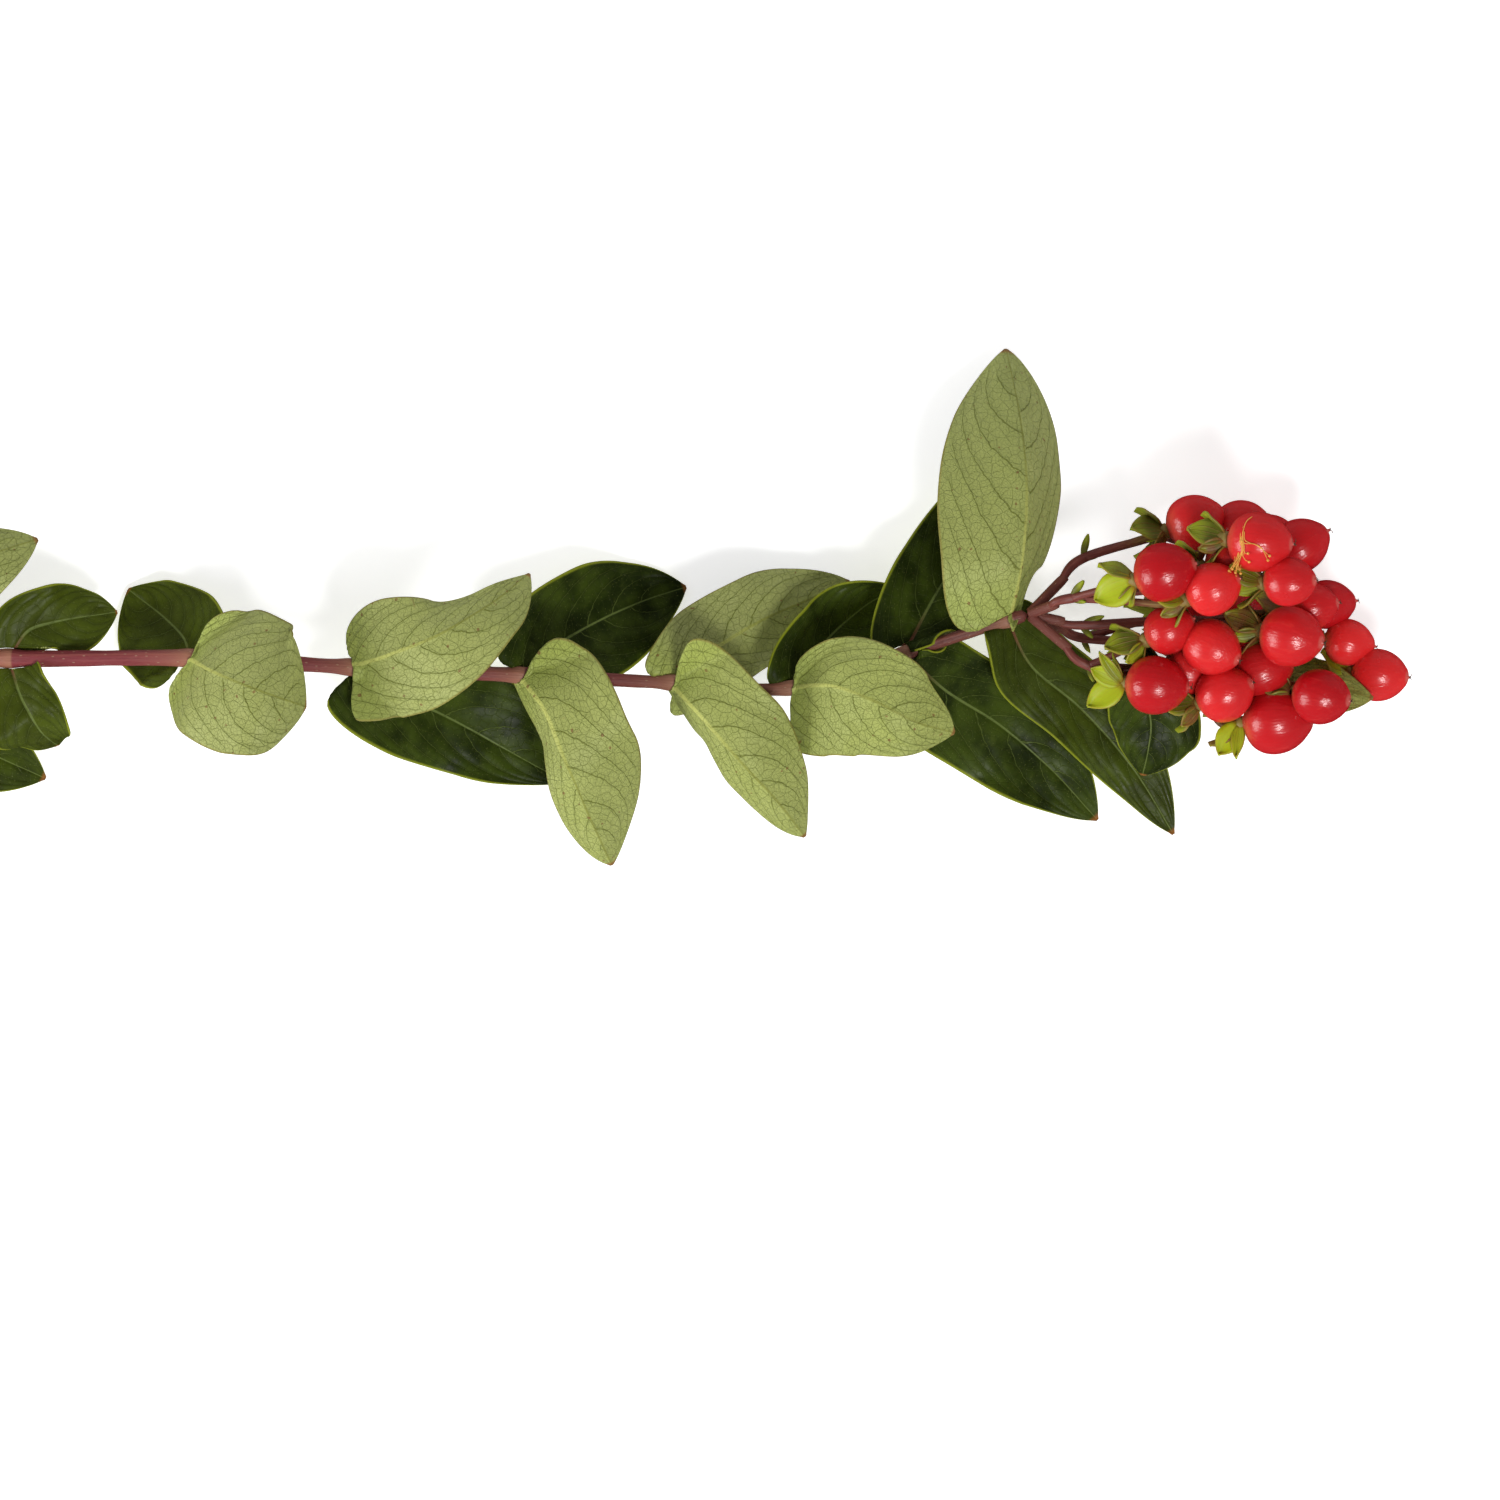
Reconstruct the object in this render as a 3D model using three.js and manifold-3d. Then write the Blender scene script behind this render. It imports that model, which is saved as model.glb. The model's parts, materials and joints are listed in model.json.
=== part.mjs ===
// A cut hypericum stem in fruit, lying on a table: one woody stem with opposite, clasping leaves,
// and at its tip a branched head of red berries, each in a calyx of five green sepals.
// Millimetres, +Z up. The stem lies along X with its cut end at low X and the berries at high X.
// Places are first given in a growing frame, whose Z = 0 is the table, and the finished group is
// then moved so that its origin is the centre of the bottom of its box.

import * as THREE from "three";
import { mergeVertices } from "three/addons/utils/BufferGeometryUtils.js";
import Module from "manifold-3d";

const wasm = await Module();
wasm.setup();

// ---------------------------------------------------------------- driving dimensions

const GAP = 0.35; // free space kept between two pieces that touch on the real plant
const SHORTEST_EDGE = 0.02; // finer edges, which cuts leave, are merged away

const STEM_BUTT_RADIUS = 2.05; // at the cut end
const STEM_TIP_RADIUS = 1.15; // where the first branches leave
const STEM_SIDES = 9;
const NODE_SWELLING = 0.5; // how far the stem thickens at each pair of leaves
const NODE_SPREAD = 2.4; // how far along the stem that swelling reaches
const CUT_SLANT = THREE.MathUtils.degToRad(38); // the florist's slanting cut

const LEAF_THICKNESS = 0.7;
const LEAF_TIP_WIDTH = 0.35; // half width at the very tip
const LEAF_KNIFE = [26, 32, 16]; // the block that trims a leaf's lobes: across, along the stem, deep
const LEAF_BASE_SHARE = 0.5; // half width where the blade clasps the stem, as a share of its widest
const LEAF_TAPER = 1.35; // how late the blade narrows to its tip: 1 is pointed, 2 is blunt
const LOBE = 4.2; // how far the two lobes at a leaf's base reach back past the stem
const LEAF_ROWS = [0, 0.03, 0.08, 0.16, 0.28, 0.41, 0.55, 0.69, 0.82, 0.93, 1];
const LEAF_COLUMNS = [-1, -0.5, 0, 0.5, 1];

const BERRY_HALF_LENGTH = 6.5;
const BERRY_RADIUS = 5.7;
const BERRY_TAPER = 0.1; // how much slimmer a berry is near its tip than near its calyx
const BERRY_CONTACT = 11; // between the centres of two berries that press into each other
const BERRY_SHY = 0.7; // how squarely a berry's foot may face a neighbour, 0 to 1
const BERRY_NOD = 0.75; // how far a berry follows the rise of its stalk, 0 to 1
const BERRY_SIDES = 9;
const BERRY_RINGS = 6;
const BERRY_GROWTH = 2 / (1 + Math.cos(Math.PI / BERRY_SIDES)); // its flats lie as far in as its edges out

const BRANCH_RADIUS = 0.95;
const BRANCH_SHARE = 0.7; // how much of the way to a spray's first fork is still woody stem
const PEDICEL_RADIUS = 0.7;
const PEDICEL_ROOM = 7.6; // how near a berry's centre another berry's stalk may pass
const STALK_SIDES = 5;
const PEDICEL_SIDES = 5;
const RECEPTACLE_RADIUS = 1.7; // the five-sided foot that a berry and its sepals stand on
const RECEPTACLE_LENGTH = 2.2;
const SEPAL_LENGTH = 6.8;
const SEPAL_HALF_WIDTH = 3.3;
const SEPAL_THICKNESS = 1.1;
const SEPAL_ROWS = [0, 0.4, 0.78, 1];

// ---------------------------------------------------------------- the plant, node by node

// Centre line of the stem, from the cut end to where it forks into the sprays.
const STEM_LINE = [
  [-262, 25, 1.9],
  [-225, 23, 6.8],
  [-190, 21, 12],
  [-155.2, 19.2, 16.5],
  [-117.1, 19.2, 20.5],
  [-83.3, 17.3, 22.5],
  [-47.9, 15.6, 23.5],
  [-16.3, 14, 24.5],
  [8.3, 12.9, 25],
  [32.3, 20.2, 25.5],
  [53.8, 27, 26.3],
  [58, 28.2, 26.5],
];
const BARE_NODES = [1]; // entries of STEM_LINE whose leaves were stripped off
const LEAFY_NODES = [2, 3, 4, 5, 6, 7, 8, 9, 10];

// Each leaf: the node of STEM_LINE it grows from (or the spray and the root of a small one in the
// head), its midrib after the base (x, y, z), its greatest half width and where along the blade that
// lies, the roll of the blade about its midrib at base and tip, the fold of its halves about the
// midrib, their further curl towards the margin, and the height, count and phase of the waves in
// the margin. Angles are in degrees, positive where the left side or the margins rise. A pair in
// half, widest, base, taper or lobe is for the left half of the blade and for the right one.
const LEAVES = {
  leaf_1_left: { node: 2, rib: [[-183, 27, 20], [-172, 34, 26], [-160, 40, 25], [-149, 44, 19]],
    half: 12, widest: 0.38, roll: [10, -10], fold: -14, curl: -22, wave: [1.2, 2, 0.1] },
  leaf_1_right: { node: 2, rib: [[-183, 14, 8], [-172, 6, 3], [-160, -1, 1], [-149, -6, 1]],
    half: 12, widest: 0.38, roll: [-6, 6], fold: 12, curl: -10, wave: [1.2, 2, 0.6] },
  leaf_2_left: { node: 3, rib: [[-151.5, 24.6, 17], [-147, 26.5, 16], [-140.5, 27.8, 14], [-133, 29, 11]],
    half: [8, 8.5], widest: 0.4, roll: [12, -4], fold: 16, curl: -12, wave: [1.3, 2, 0.3] },
  leaf_2_right: { node: 3, rib: [[-153, 12.5, 19], [-150.5, 7.5, 21], [-148, 3.5, 18], [-145.5, 1, 11]],
    half: [7, 9.5], widest: 0.42, roll: [4, 14], fold: 14, curl: -24, wave: [1.6, 2, 0.8] },
  leaf_3_left: { node: 4, rib: [[-119, 23.5, 11.5], [-123, 27.5, 6.5], [-127.5, 31, 3], [-131.5, 34, 1.5]],
    half: [13.5, 10.5], widest: [0.4, 0.25], roll: [4, -4], fold: 8, curl: -10, wave: [1.3, 2, 0.2],
    base: [0.6, 0.8], taper: [1.8, 1.3], lobe: [4.2, 2.5] },
  leaf_3_right: { node: 4,
    rib: [[-112, 16.5, 31], [-103.5, 13, 38.5], [-96.5, 10.5, 38.5], [-92.3, 9, 30.5]],
    half: [17.2, 15.2], widest: 0.4, roll: [-6, -12], fold: -6, curl: -22, wave: [0.9, 2, 0.5],
    taper: [2, 1.6], lobe: [3.2, 4.6] },
  leaf_4_left: { node: 5, rib: [[-74.5, 19.8, 31], [-64, 23.8, 36], [-54.5, 29.6, 35], [-45.8, 36.5, 29]],
    half: [12.6, 13.5], widest: 0.24, roll: [-4, -48], fold: -10, curl: -12, wave: [1.2, 1.5, 0.85],
    base: [0.4, 0.85], taper: [0.7, 1.4], lobe: [0.6, 6.2] },
  leaf_4_right: { node: 5, rib: [[-73, 11.5, 14], [-62, 6, 6], [-50.5, -0.5, 2], [-39.2, -6.7, 1]],
    half: [14, 12.4], widest: [0.4, 0.2], roll: [-4, 6], fold: 12, curl: -8, wave: [1.2, 2, 0.4],
    base: [0.5, 0.7], taper: [1.8, 1.25], lobe: [4.2, 3] },
  leaf_5_left: { node: 6, rib: [[-40.5, 22, 16], [-31.3, 27.5, 8], [-22.5, 31.5, 3], [-13.5, 34.5, 1]],
    half: 12.5, widest: 0.4, roll: [8, -4], fold: 13, curl: -10, wave: [1.2, 2, 0.15] },
  leaf_5_right: { node: 6, rib: [[-42.2, 7.9, 31], [-37.7, -3.3, 32], [-33.5, -13.5, 26], [-29, -24, 15]],
    half: [15.8, 8.3], widest: 0.32, roll: [47, 0], fold: -30, curl: -8, wave: [0.8, 2, 0.65],
    base: [0.6, 0.5], taper: [1.6, 2.6], lobe: [1.8, 3.4] },
  leaf_6_left: { node: 7, rib: [[-8.5, 20.5, 19.5], [2, 27, 15], [12, 31.5, 10.5], [21, 35.5, 6.5]],
    half: 10.5, widest: 0.38, roll: [16, 6], fold: -12, curl: -12, wave: [1.2, 2, 0.3] },
  leaf_6_right: { node: 7, rib: [[-10, 7.1, 33], [-2.3, -1.8, 35], [5.2, -10, 30], [11.4, -18, 21]],
    half: [14.2, 7.8], widest: 0.3, roll: [47, 2], fold: -30, curl: -8, wave: [0.8, 2, 0.75],
    base: [0.65, 0.55], taper: [1.2, 2.2], lobe: [3.4, 3.6] },
  leaf_7_left: { node: 8, rib: [[13, 19.5, 19], [18.5, 25.5, 15], [24.5, 30.5, 13], [31, 34, 13]],
    half: 9.5, widest: 0.42, roll: [4, 26], fold: 14, curl: 10, wave: [1, 2, 0.55] },
  leaf_7_right: { node: 8, rib: [[17, 13.2, 33.5], [25.5, 10.2, 38.5], [34, 5.9, 38], [42.3, 3.6, 32]],
    half: [12, 14.8], widest: [0.42, 0.22], roll: [-4, 10], fold: -10, curl: -14, wave: [0.8, 2, 0.1],
    base: [0.45, 0.8], taper: [1.35, 1.05], lobe: [1, 0.4] },
  leaf_8_left: { node: 9, rib: [[38, 31, 18], [45, 42.5, 9], [50.5, 53, 4], [54.5, 62.5, 1.5]],
    half: 11, widest: 0.4, roll: [-4, 4], fold: 12, curl: -8, wave: [1.1, 2, 0.7] },
  leaf_8_right: { node: 9, rib: [[41, 12.5, 15], [53, 5, 6], [64, -4.5, 2], [73.5, -14.8, 1]],
    half: [11, 13], widest: 0.4, roll: [2, -4], fold: 10, curl: -8, wave: [1.3, 2, 0.45] },
  leaf_9_left: { node: 10, rib: [[56.5, 40.5, 31], [57.3, 57.3, 27], [56, 72, 17], [54, 84.5, 4.5]],
    half: [18.5, 15], widest: [0.38, 0.55], roll: [44, 12], fold: -30, curl: -8, wave: [0.6, 1.5, 0.2],
    base: [0.5, 0.25], taper: [1.25, 1.7] },
  leaf_9_right: { node: 10,
    rib: [[59, 17.5, 15.5], [69.5, 8.8, 9.5], [80.5, -3.5, 5.5], [89.5, -17.8, 2.5]],
    half: [9.5, 8.6], widest: 0.34, roll: [-16, 4], fold: 8, curl: -14, wave: [1.2, 2, 0.9],
    base: [0.3, 0.7] },
  leaf_10: { spray: "spray_lower_front", root: [81.5, 14.5, 24.5],
    rib: [[83, 10.5, 18.5], [84, 5, 16], [83.5, 0, 14.5], [82.5, -5.3, 11.5]],
    half: [11, 9], widest: [0.6, 0.45], roll: [-4, 8], fold: -6, curl: -20, wave: [0.8, 2, 0.4],
    base: [0.12, 0.2], taper: [0.8, 1], lobe: 0.5 },
  leaf_11: { spray: "spray_lower_front", root: [92.5, 13.6, 21],
    rib: [[101, 13.8, 18], [110, 15, 17.3], [119, 14, 19.4], [129.5, 10.8, 28.4]],
    half: [4.9, 6.8], widest: 0.6, roll: [0, 4], fold: -5, curl: -8, wave: [0.6, 2, 0.4],
    base: 0.2, taper: 1.05, lobe: 0.5 },
};
const PALE_SIDE_UP = ["leaf_1_left", "leaf_3_right", "leaf_4_left", "leaf_5_right", "leaf_6_left",
  "leaf_6_right", "leaf_7_right", "leaf_9_left",
  "leaf_11"]; // these lie turned over, their underside up

// The head of berries. A spray is one branch: where it forks, from the stem outwards, and its
// berries. Each berry has a place seen from above (x, y), the berry of its spray that it
// leans on, whether it lies above (1) or below (-1) that one, the fork its stalk grows from, and
// its size as a share of the usual one.
// The first berry of a spray gives its own height.
const SPRAYS = {
  spray_upper_front: { forks: [[66.7, 31.5, 31], [90.5, 34, 27]], berries: [
    { at: [85.7, 36.7], z: 42, fork: 0, size: 1 },
    { at: [95.8, 33.3], on: 0, side: -1, fork: 0, size: 0.9 },
    { at: [100.1, 39.4], on: 1, side: -1, fork: 0, size: 0.88 },
    { at: [105, 42.8], on: 2, side: 1, fork: 1, size: 1.02 },
    { at: [111.4, 34.4], on: 3, side: 1, fork: 1, size: 0.84 },
  ] },
  spray_upper_back: { forks: [[69.5, 40, 23], [86, 45, 17]], berries: [
    { at: [93, 47.7], z: 23, fork: 0, size: 0.94 },
    { at: [102.8, 46.9], on: 0, side: -1, fork: 1, size: 0.9 },
    { at: [109.5, 44.2], on: 1, side: -1, fork: 1, size: 0.85 },
    { at: [115.2, 42.9], on: 2, side: 1, fork: 1, size: 0.92 },
  ] },
  spray_middle: { forks: [[69, 26, 23.5], [95, 27, 20], [111, 22.5, 14]], berries: [
    { at: [112.2, 23.4], z: 36.4, fork: 1, size: 1.03 },
    { at: [117, 29.9], on: 0, side: -1, fork: 1, size: 0.8 },
    { at: [120.9, 30.4], on: 1, side: -1, fork: 1, size: 0.84 },
    { at: [125.2, 22.2], on: 2, side: 1, fork: 1, size: 0.8 },
    { at: [132, 15.2], on: 3, side: -1, fork: 2, size: 0.9 },
  ] },
  spray_lower_front: { forks: [[70.5, 17.5, 28], [91, 13.5, 22], [105, 12, 20.8]], berries: [
    { at: [84.4, 13.4], z: 33.5, fork: 0, size: 1 },
    { at: [91.5, 16.5], on: 0, side: -1, fork: 0, size: 0.85 },
    { at: [95.9, 21.1], on: 1, side: 1, fork: 0, size: 0.95 },
    { at: [98.7, 11.8], on: 1, side: 1, fork: 1, size: 0.95 },
    { at: [87, 25], on: 2, side: -1, fork: 0, size: 0.82 },
    { at: [106.8, 16.9], on: 3, side: -1, fork: 1, size: 0.97 },
    { at: [110.1, 5.2], on: 5, side: 1, fork: 1, size: 1.1 },
    { at: [118.6, 11], on: 6, side: 1, fork: 2, size: 0.94 },
  ] },
  spray_under: { forks: [[69.8, 23.5, 14.5], [84, 22.5, 12]], berries: [
    { at: [93, 30], z: 5.3, fork: 0, size: 0.95 },
    { at: [103, 27.5], on: 0, side: 1, fork: 1, size: 0.92 },
    { at: [99.5, 16.5], on: 1, side: -1, fork: 1, size: 0.95 },
    { at: [110, 12.5], on: 2, side: 1, fork: 1, size: 0.92 },
  ] },
};
const GOLDEN = 0.618034; // spreads sizes and turns evenly over the berries and sepals

// ---------------------------------------------------------------- solids

const vector = (p) => new THREE.Vector3(...p);
const UP = new THREE.Vector3(0, 0, 1);

// A closed three.js geometry as a manifold-3d solid, with equal points merged and flat slivers dropped.
function solidOf(geometry) {
  const bare = geometry.clone();
  bare.deleteAttribute("normal");
  bare.deleteAttribute("uv");
  const merged = mergeVertices(bare, 1e-4);
  const index = merged.index.array;
  const kept = [];
  for (let i = 0; i < index.length; i += 3) {
    const [a, b, c] = [index[i], index[i + 1], index[i + 2]];
    if (a !== b && b !== c && c !== a) kept.push(a, b, c);
  }
  const mesh = new wasm.Mesh({
    numProp: 3,
    vertProperties: new Float32Array(merged.attributes.position.array),
    triVerts: new Uint32Array(kept),
  });
  return new wasm.Manifold(mesh);
}

// The finished geometry of a solid, without edges too short to matter.
function geometryOf(solid) {
  const mesh = solid.asOriginal().simplify(SHORTEST_EDGE).getMesh();
  const positions = new Float32Array(mesh.numVert * 3);
  for (let i = 0; i < mesh.numVert; i += 1) {
    positions.set(mesh.vertProperties.subarray(i * mesh.numProp, i * mesh.numProp + 3), i * 3);
  }
  const geometry = new THREE.BufferGeometry();
  geometry.setAttribute("position", new THREE.BufferAttribute(positions, 3));
  geometry.setIndex(new THREE.BufferAttribute(new Uint32Array(mesh.triVerts), 1));
  geometry.computeVertexNormals();
  return geometry;
}

const union = (solids) => solids.reduce((all, one) => all.add(one));

// A cut can leave scraps; the piece is its largest body.
function largest(solid) {
  return solid.decompose().sort((a, b) => b.volume() - a.volume())[0];
}

const tableTop = solidOf(new THREE.BoxGeometry(2000, 2000, 100).translate(0, 0, -50));

// ---------------------------------------------------------------- round stalks

// A tapered, closed stalk: a cylinder whose rings are laid along a curve at the given shares of its
// length, each with the radius that radiusAt gives there.
function stalk(curve, shares, radiusAt, sides) {
  const cylinder = new THREE.CylinderGeometry(1, 1, shares.length - 1, sides, shares.length - 1);
  const position = cylinder.attributes.position;
  const point = new THREE.Vector3();
  for (let i = 0; i < position.count; i += 1) {
    point.fromBufferAttribute(position, i);
    const share = shares[Math.round((shares.length - 1) / 2 - point.y)];
    const tangent = curve.getTangentAt(share);
    const side = UP.clone().cross(tangent).normalize();
    const across = tangent.clone().cross(side);
    const radius = radiusAt(share);
    const centre = curve.getPointAt(share);
    centre.addScaledVector(side, point.x * radius).addScaledVector(across, point.z * radius);
    position.setXYZ(i, centre.x, centre.y, centre.z);
  }
  return solidOf(cylinder);
}

const smooth = (points) => new THREE.CatmullRomCurve3(points.map(vector), false, "catmullrom", 0.5);

// ---------------------------------------------------------------- stem

const stemCurve = smooth(STEM_LINE);
stemCurve.arcLengthDivisions = 1000;
const stemLength = stemCurve.getLength();

// The share of the stem's length at which it passes a node.
function shareOfNode(node) {
  const target = vector(STEM_LINE[node]);
  let best = 0;
  for (let step = 0; step <= 1000; step += 1) {
    const nearer = stemCurve.getPointAt(step / 1000).distanceTo(target);
    if (nearer < stemCurve.getPointAt(best).distanceTo(target)) best = step / 1000;
  }
  return best;
}
const nodeShares = [...BARE_NODES, ...LEAFY_NODES].map(shareOfNode);

function stemRadius(share) {
  const plain = THREE.MathUtils.lerp(STEM_BUTT_RADIUS, STEM_TIP_RADIUS, share);
  const swelling = nodeShares.map((at) => {
    const away = ((share - at) * stemLength) / NODE_SPREAD;
    return NODE_SWELLING * Math.exp(-away * away);
  });
  return plain + Math.max(...swelling);
}

// Rings stand close at each node and wider apart between.
function stemShares() {
  const shares = new Set([0, 1]);
  const near = NODE_SPREAD / stemLength;
  for (const at of nodeShares) {
    for (const shift of [-1.7, 0, 1.7]) {
      shares.add(THREE.MathUtils.clamp(at + shift * near, 0, 1));
    }
  }
  const sorted = [...shares].sort((a, b) => a - b);
  return sorted.flatMap((share, i) => {
    const next = sorted[i + 1];
    if (next === undefined || (next - share) * stemLength < 12) return [share];
    return [share, (share + next) / 2];
  });
}

// Where the woody branch that carries a spray ends, and the way it points there.
function branchEnd(spray) {
  const start = stemCurve.getPointAt(1);
  const end = start.clone().lerp(vector(spray.forks[0]), BRANCH_SHARE);
  return { start, end, direction: end.clone().sub(start).normalize() };
}

function makeStem(extraRadius) {
  const trunk = stalk(stemCurve, stemShares(), (share) => stemRadius(share) + extraRadius, STEM_SIDES);
  const branches = Object.values(SPRAYS).map((spray) => {
    const { start, end, direction } = branchEnd(spray);
    const line = new THREE.LineCurve3(start, end.addScaledVector(direction, extraRadius));
    return stalk(line, [0, 1], () => BRANCH_RADIUS + extraRadius, STEM_SIDES);
  });
  const knife = new THREE.BoxGeometry(40, 40, 40).translate(-20, 0, 0).rotateZ(CUT_SLANT);
  const end = vector(STEM_LINE[0]);
  knife.translate(end.x + 2 * STEM_BUTT_RADIUS, end.y, end.z);
  return union([trunk, ...branches]).subtract(solidOf(knife));
}

// ---------------------------------------------------------------- blades

// Share of the greatest half width at a place along the blade, 0 at the base and 1 at the tip.
function bladeWidth(along, widest, baseShare, taper = LEAF_TAPER, bluntness = 0.5) {
  if (along < widest) {
    const rise = Math.sin((Math.PI / 2) * (along / widest) ** bluntness);
    return baseShare + (1 - baseShare) * rise;
  }
  const fall = (along - widest) / (1 - widest);
  return Math.max(0, Math.cos((Math.PI / 2) * fall ** taper)) ** 0.8;
}

const rootOf = (leaf) => vector(leaf.root ?? STEM_LINE[leaf.node]);

// A number of both halves of a blade, or of its left and its right one.
const sided = (value, across) => (Array.isArray(value) ? value[across < 0 ? 1 : 0] : value);

// Where the lobes of a leaf meet its twin's: a point, the stem's heading and the way off it.
function twinPlane(leaf) {
  const twin = Object.values(LEAVES).find((other) => other !== leaf && other.node === leaf.node);
  const root = rootOf(leaf);
  const tangent = stemCurve.getTangentAt(shareOfNode(leaf.node));
  const away = vector(leaf.rib[0]).sub(root).normalize().sub(vector(twin.rib[0]).sub(root).normalize());
  away.addScaledVector(tangent, -away.dot(tangent)).normalize();
  return { root, tangent, away };
}

// Lifts or lowers a lobe that would run through the twin leaf, until it clears it.
function keepOffTwin(point, { root, tangent, away }) {
  const { smoothstep } = THREE.MathUtils;
  const off = point.clone().sub(root);
  const within = (GAP + LEAF_THICKNESS) / 2 - off.dot(away);
  const short = (within + Math.hypot(within, 1)) / 2; // eases in without a crease
  const sidelong = Math.abs(off.dot(tangent.clone().cross(away)));
  let near = 1 - smoothstep(Math.abs(off.dot(tangent)), 13, 17);
  near *= (1 - smoothstep(sidelong, 9, 12)) * (1 - smoothstep(short, 12, 16));
  const shift = Math.abs(away.z) > 0.5 ? UP.clone().divideScalar(away.z) : away;
  point.addScaledVector(shift, short * near);
}

// The leaf's blade as a function of along (0 at the base, 1 at the tip) and across (-1 to 1).
function leafSurface(leaf, extra) {
  const root = rootOf(leaf);
  const outward = vector(leaf.rib[0]).sub(root).normalize();
  root.addScaledVector(outward, 0.8 * STEM_TIP_RADIUS);
  const rib = new THREE.CatmullRomCurve3([root, ...leaf.rib.map(vector)], false, "catmullrom", 0.5);
  const tip = vector(leaf.rib.at(-1));
  const heading = tip.sub(root).setZ(0).normalize();
  const left = UP.clone().cross(heading);
  const [waveHeight, waveCount, wavePhase] = leaf.wave;
  const fold = THREE.MathUtils.degToRad(leaf.fold);
  const curl = THREE.MathUtils.degToRad(leaf.curl);
  const plane = leaf.spray ? null : twinPlane(leaf);

  return (along, across) => {
    const tangent = rib.getTangentAt(along);
    const side = left.clone().addScaledVector(tangent, -left.dot(tangent)).normalize();
    const above = tangent.clone().cross(side);
    const roll = THREE.MathUtils.degToRad(THREE.MathUtils.lerp(...leaf.roll, along));
    const out = side.clone().multiplyScalar(Math.cos(roll)).addScaledVector(above, Math.sin(roll));
    const up = above.clone().multiplyScalar(Math.cos(roll)).addScaledVector(side, -Math.sin(roll));

    const [widest, greatest] = [sided(leaf.widest, across), sided(leaf.half, across)];
    const baseShare = sided(leaf.base ?? LEAF_BASE_SHARE, across);
    const width = greatest * bladeWidth(along, widest, baseShare, sided(leaf.taper, across));
    const half = Math.max(width, LEAF_TIP_WIDTH) + extra;
    const reach = Math.abs(across) * half;
    const bend = curl / greatest;
    const sideways = (Math.sin(fold + bend * reach) - Math.sin(fold)) / bend;
    const rise = (Math.cos(fold) - Math.cos(fold + bend * reach)) / bend;
    const phase = wavePhase + (across < 0 ? 0.37 : 0);
    const calm = Math.min(1, 4 * along, 4 * (1 - along));
    const wave = waveHeight * calm * across ** 2 * Math.sin(2 * Math.PI * (waveCount * along + phase));
    const swept = Math.sin((Math.PI / 2) * Math.abs(across) ** 1.25);
    const lobe = sided(leaf.lobe ?? LOBE, across) * swept * Math.max(0, 1 - along / widest) ** 2;

    const point = rib.getPointAt(along);
    point.addScaledVector(out, Math.sign(across) * sideways);
    point.addScaledVector(up, rise + wave);
    point.addScaledVector(tangent, -lobe);
    if (plane) keepOffTwin(point, plane);
    point.z = Math.max(point.z, LEAF_THICKNESS / 2); // what meets the table lies flat on it
    return point;
  };
}

// A closed blade: the surface's grid, doubled to either side of it and walled round its edge. Both
// faces are split into triangles alike. thicknessAt may fall to 0 at the margin, which then closes.
function blade(surface, rows, columns, thicknessAt) {
  const step = 1e-3;
  const positions = [];
  for (const face of [1, -1]) {
    for (const along of rows) {
      for (const across of columns) {
        const point = surface(along, across);
        const ahead = surface(Math.min(along + step, 1), across)
          .sub(surface(Math.max(along - step, 0), across));
        const leftward = surface(along, Math.min(across + step, 1))
          .sub(surface(along, Math.max(across - step, -1)));
        const normal = ahead.cross(leftward).normalize();
        point.addScaledVector(normal, (face * thicknessAt(along, across)) / 2);
        positions.push(point.x, point.y, point.z);
      }
    }
  }
  const wide = columns.length;
  const sheet = rows.length * wide;
  const at = (row, column) => row * wide + column;
  const triangles = [];
  const quad = (a, b, c, d) => triangles.push(a, b, c, a, c, d);
  for (let row = 0; row + 1 < rows.length; row += 1) {
    for (let column = 0; column + 1 < wide; column += 1) {
      const corners = [at(row, column), at(row + 1, column), at(row + 1, column + 1), at(row, column + 1)];
      const [a, b, c, d] = corners;
      quad(a, b, c, d);
      triangles.push(a + sheet, c + sheet, b + sheet, a + sheet, d + sheet, c + sheet);
    }
    const [right, left] = [0, wide - 1];
    quad(at(row, right) + sheet, at(row + 1, right) + sheet, at(row + 1, right), at(row, right));
    quad(at(row, left), at(row + 1, left), at(row + 1, left) + sheet, at(row, left) + sheet);
  }
  const last = rows.length - 1;
  for (let column = 0; column + 1 < wide; column += 1) {
    quad(at(0, column), at(0, column + 1), at(0, column + 1) + sheet, at(0, column) + sheet);
    quad(at(last, column + 1), at(last, column), at(last, column) + sheet, at(last, column + 1) + sheet);
  }
  const geometry = new THREE.BufferGeometry();
  geometry.setAttribute("position", new THREE.BufferAttribute(new Float32Array(positions), 3));
  geometry.setIndex(triangles);
  return solidOf(geometry);
}

const stemClearance = makeStem(GAP);

// The two leaves of a node meet in a plane along the stem, which the lobes of neither one cross.
function twinSide(leaf) {
  const { root, tangent, away } = twinPlane(leaf);
  const knife = new THREE.BoxGeometry(...LEAF_KNIFE).translate(0, 0, -LEAF_KNIFE[2] / 2);
  const place = new THREE.Matrix4().makeBasis(tangent.clone().cross(away), tangent, away);
  place.setPosition(root.addScaledVector(away, GAP / 2));
  return solidOf(knife.applyMatrix4(place));
}

function makeLeaf(leaf, extra) {
  const thicknessAt = () => LEAF_THICKNESS + 2 * extra;
  const whole = blade(leafSurface(leaf, extra), LEAF_ROWS, LEAF_COLUMNS, thicknessAt);
  const beside = leaf.spray ? makeGreen(leaf.spray, GAP) : twinSide(leaf);
  return largest(whole.subtract(stemClearance).subtract(beside));
}

// ---------------------------------------------------------------- berries

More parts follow.
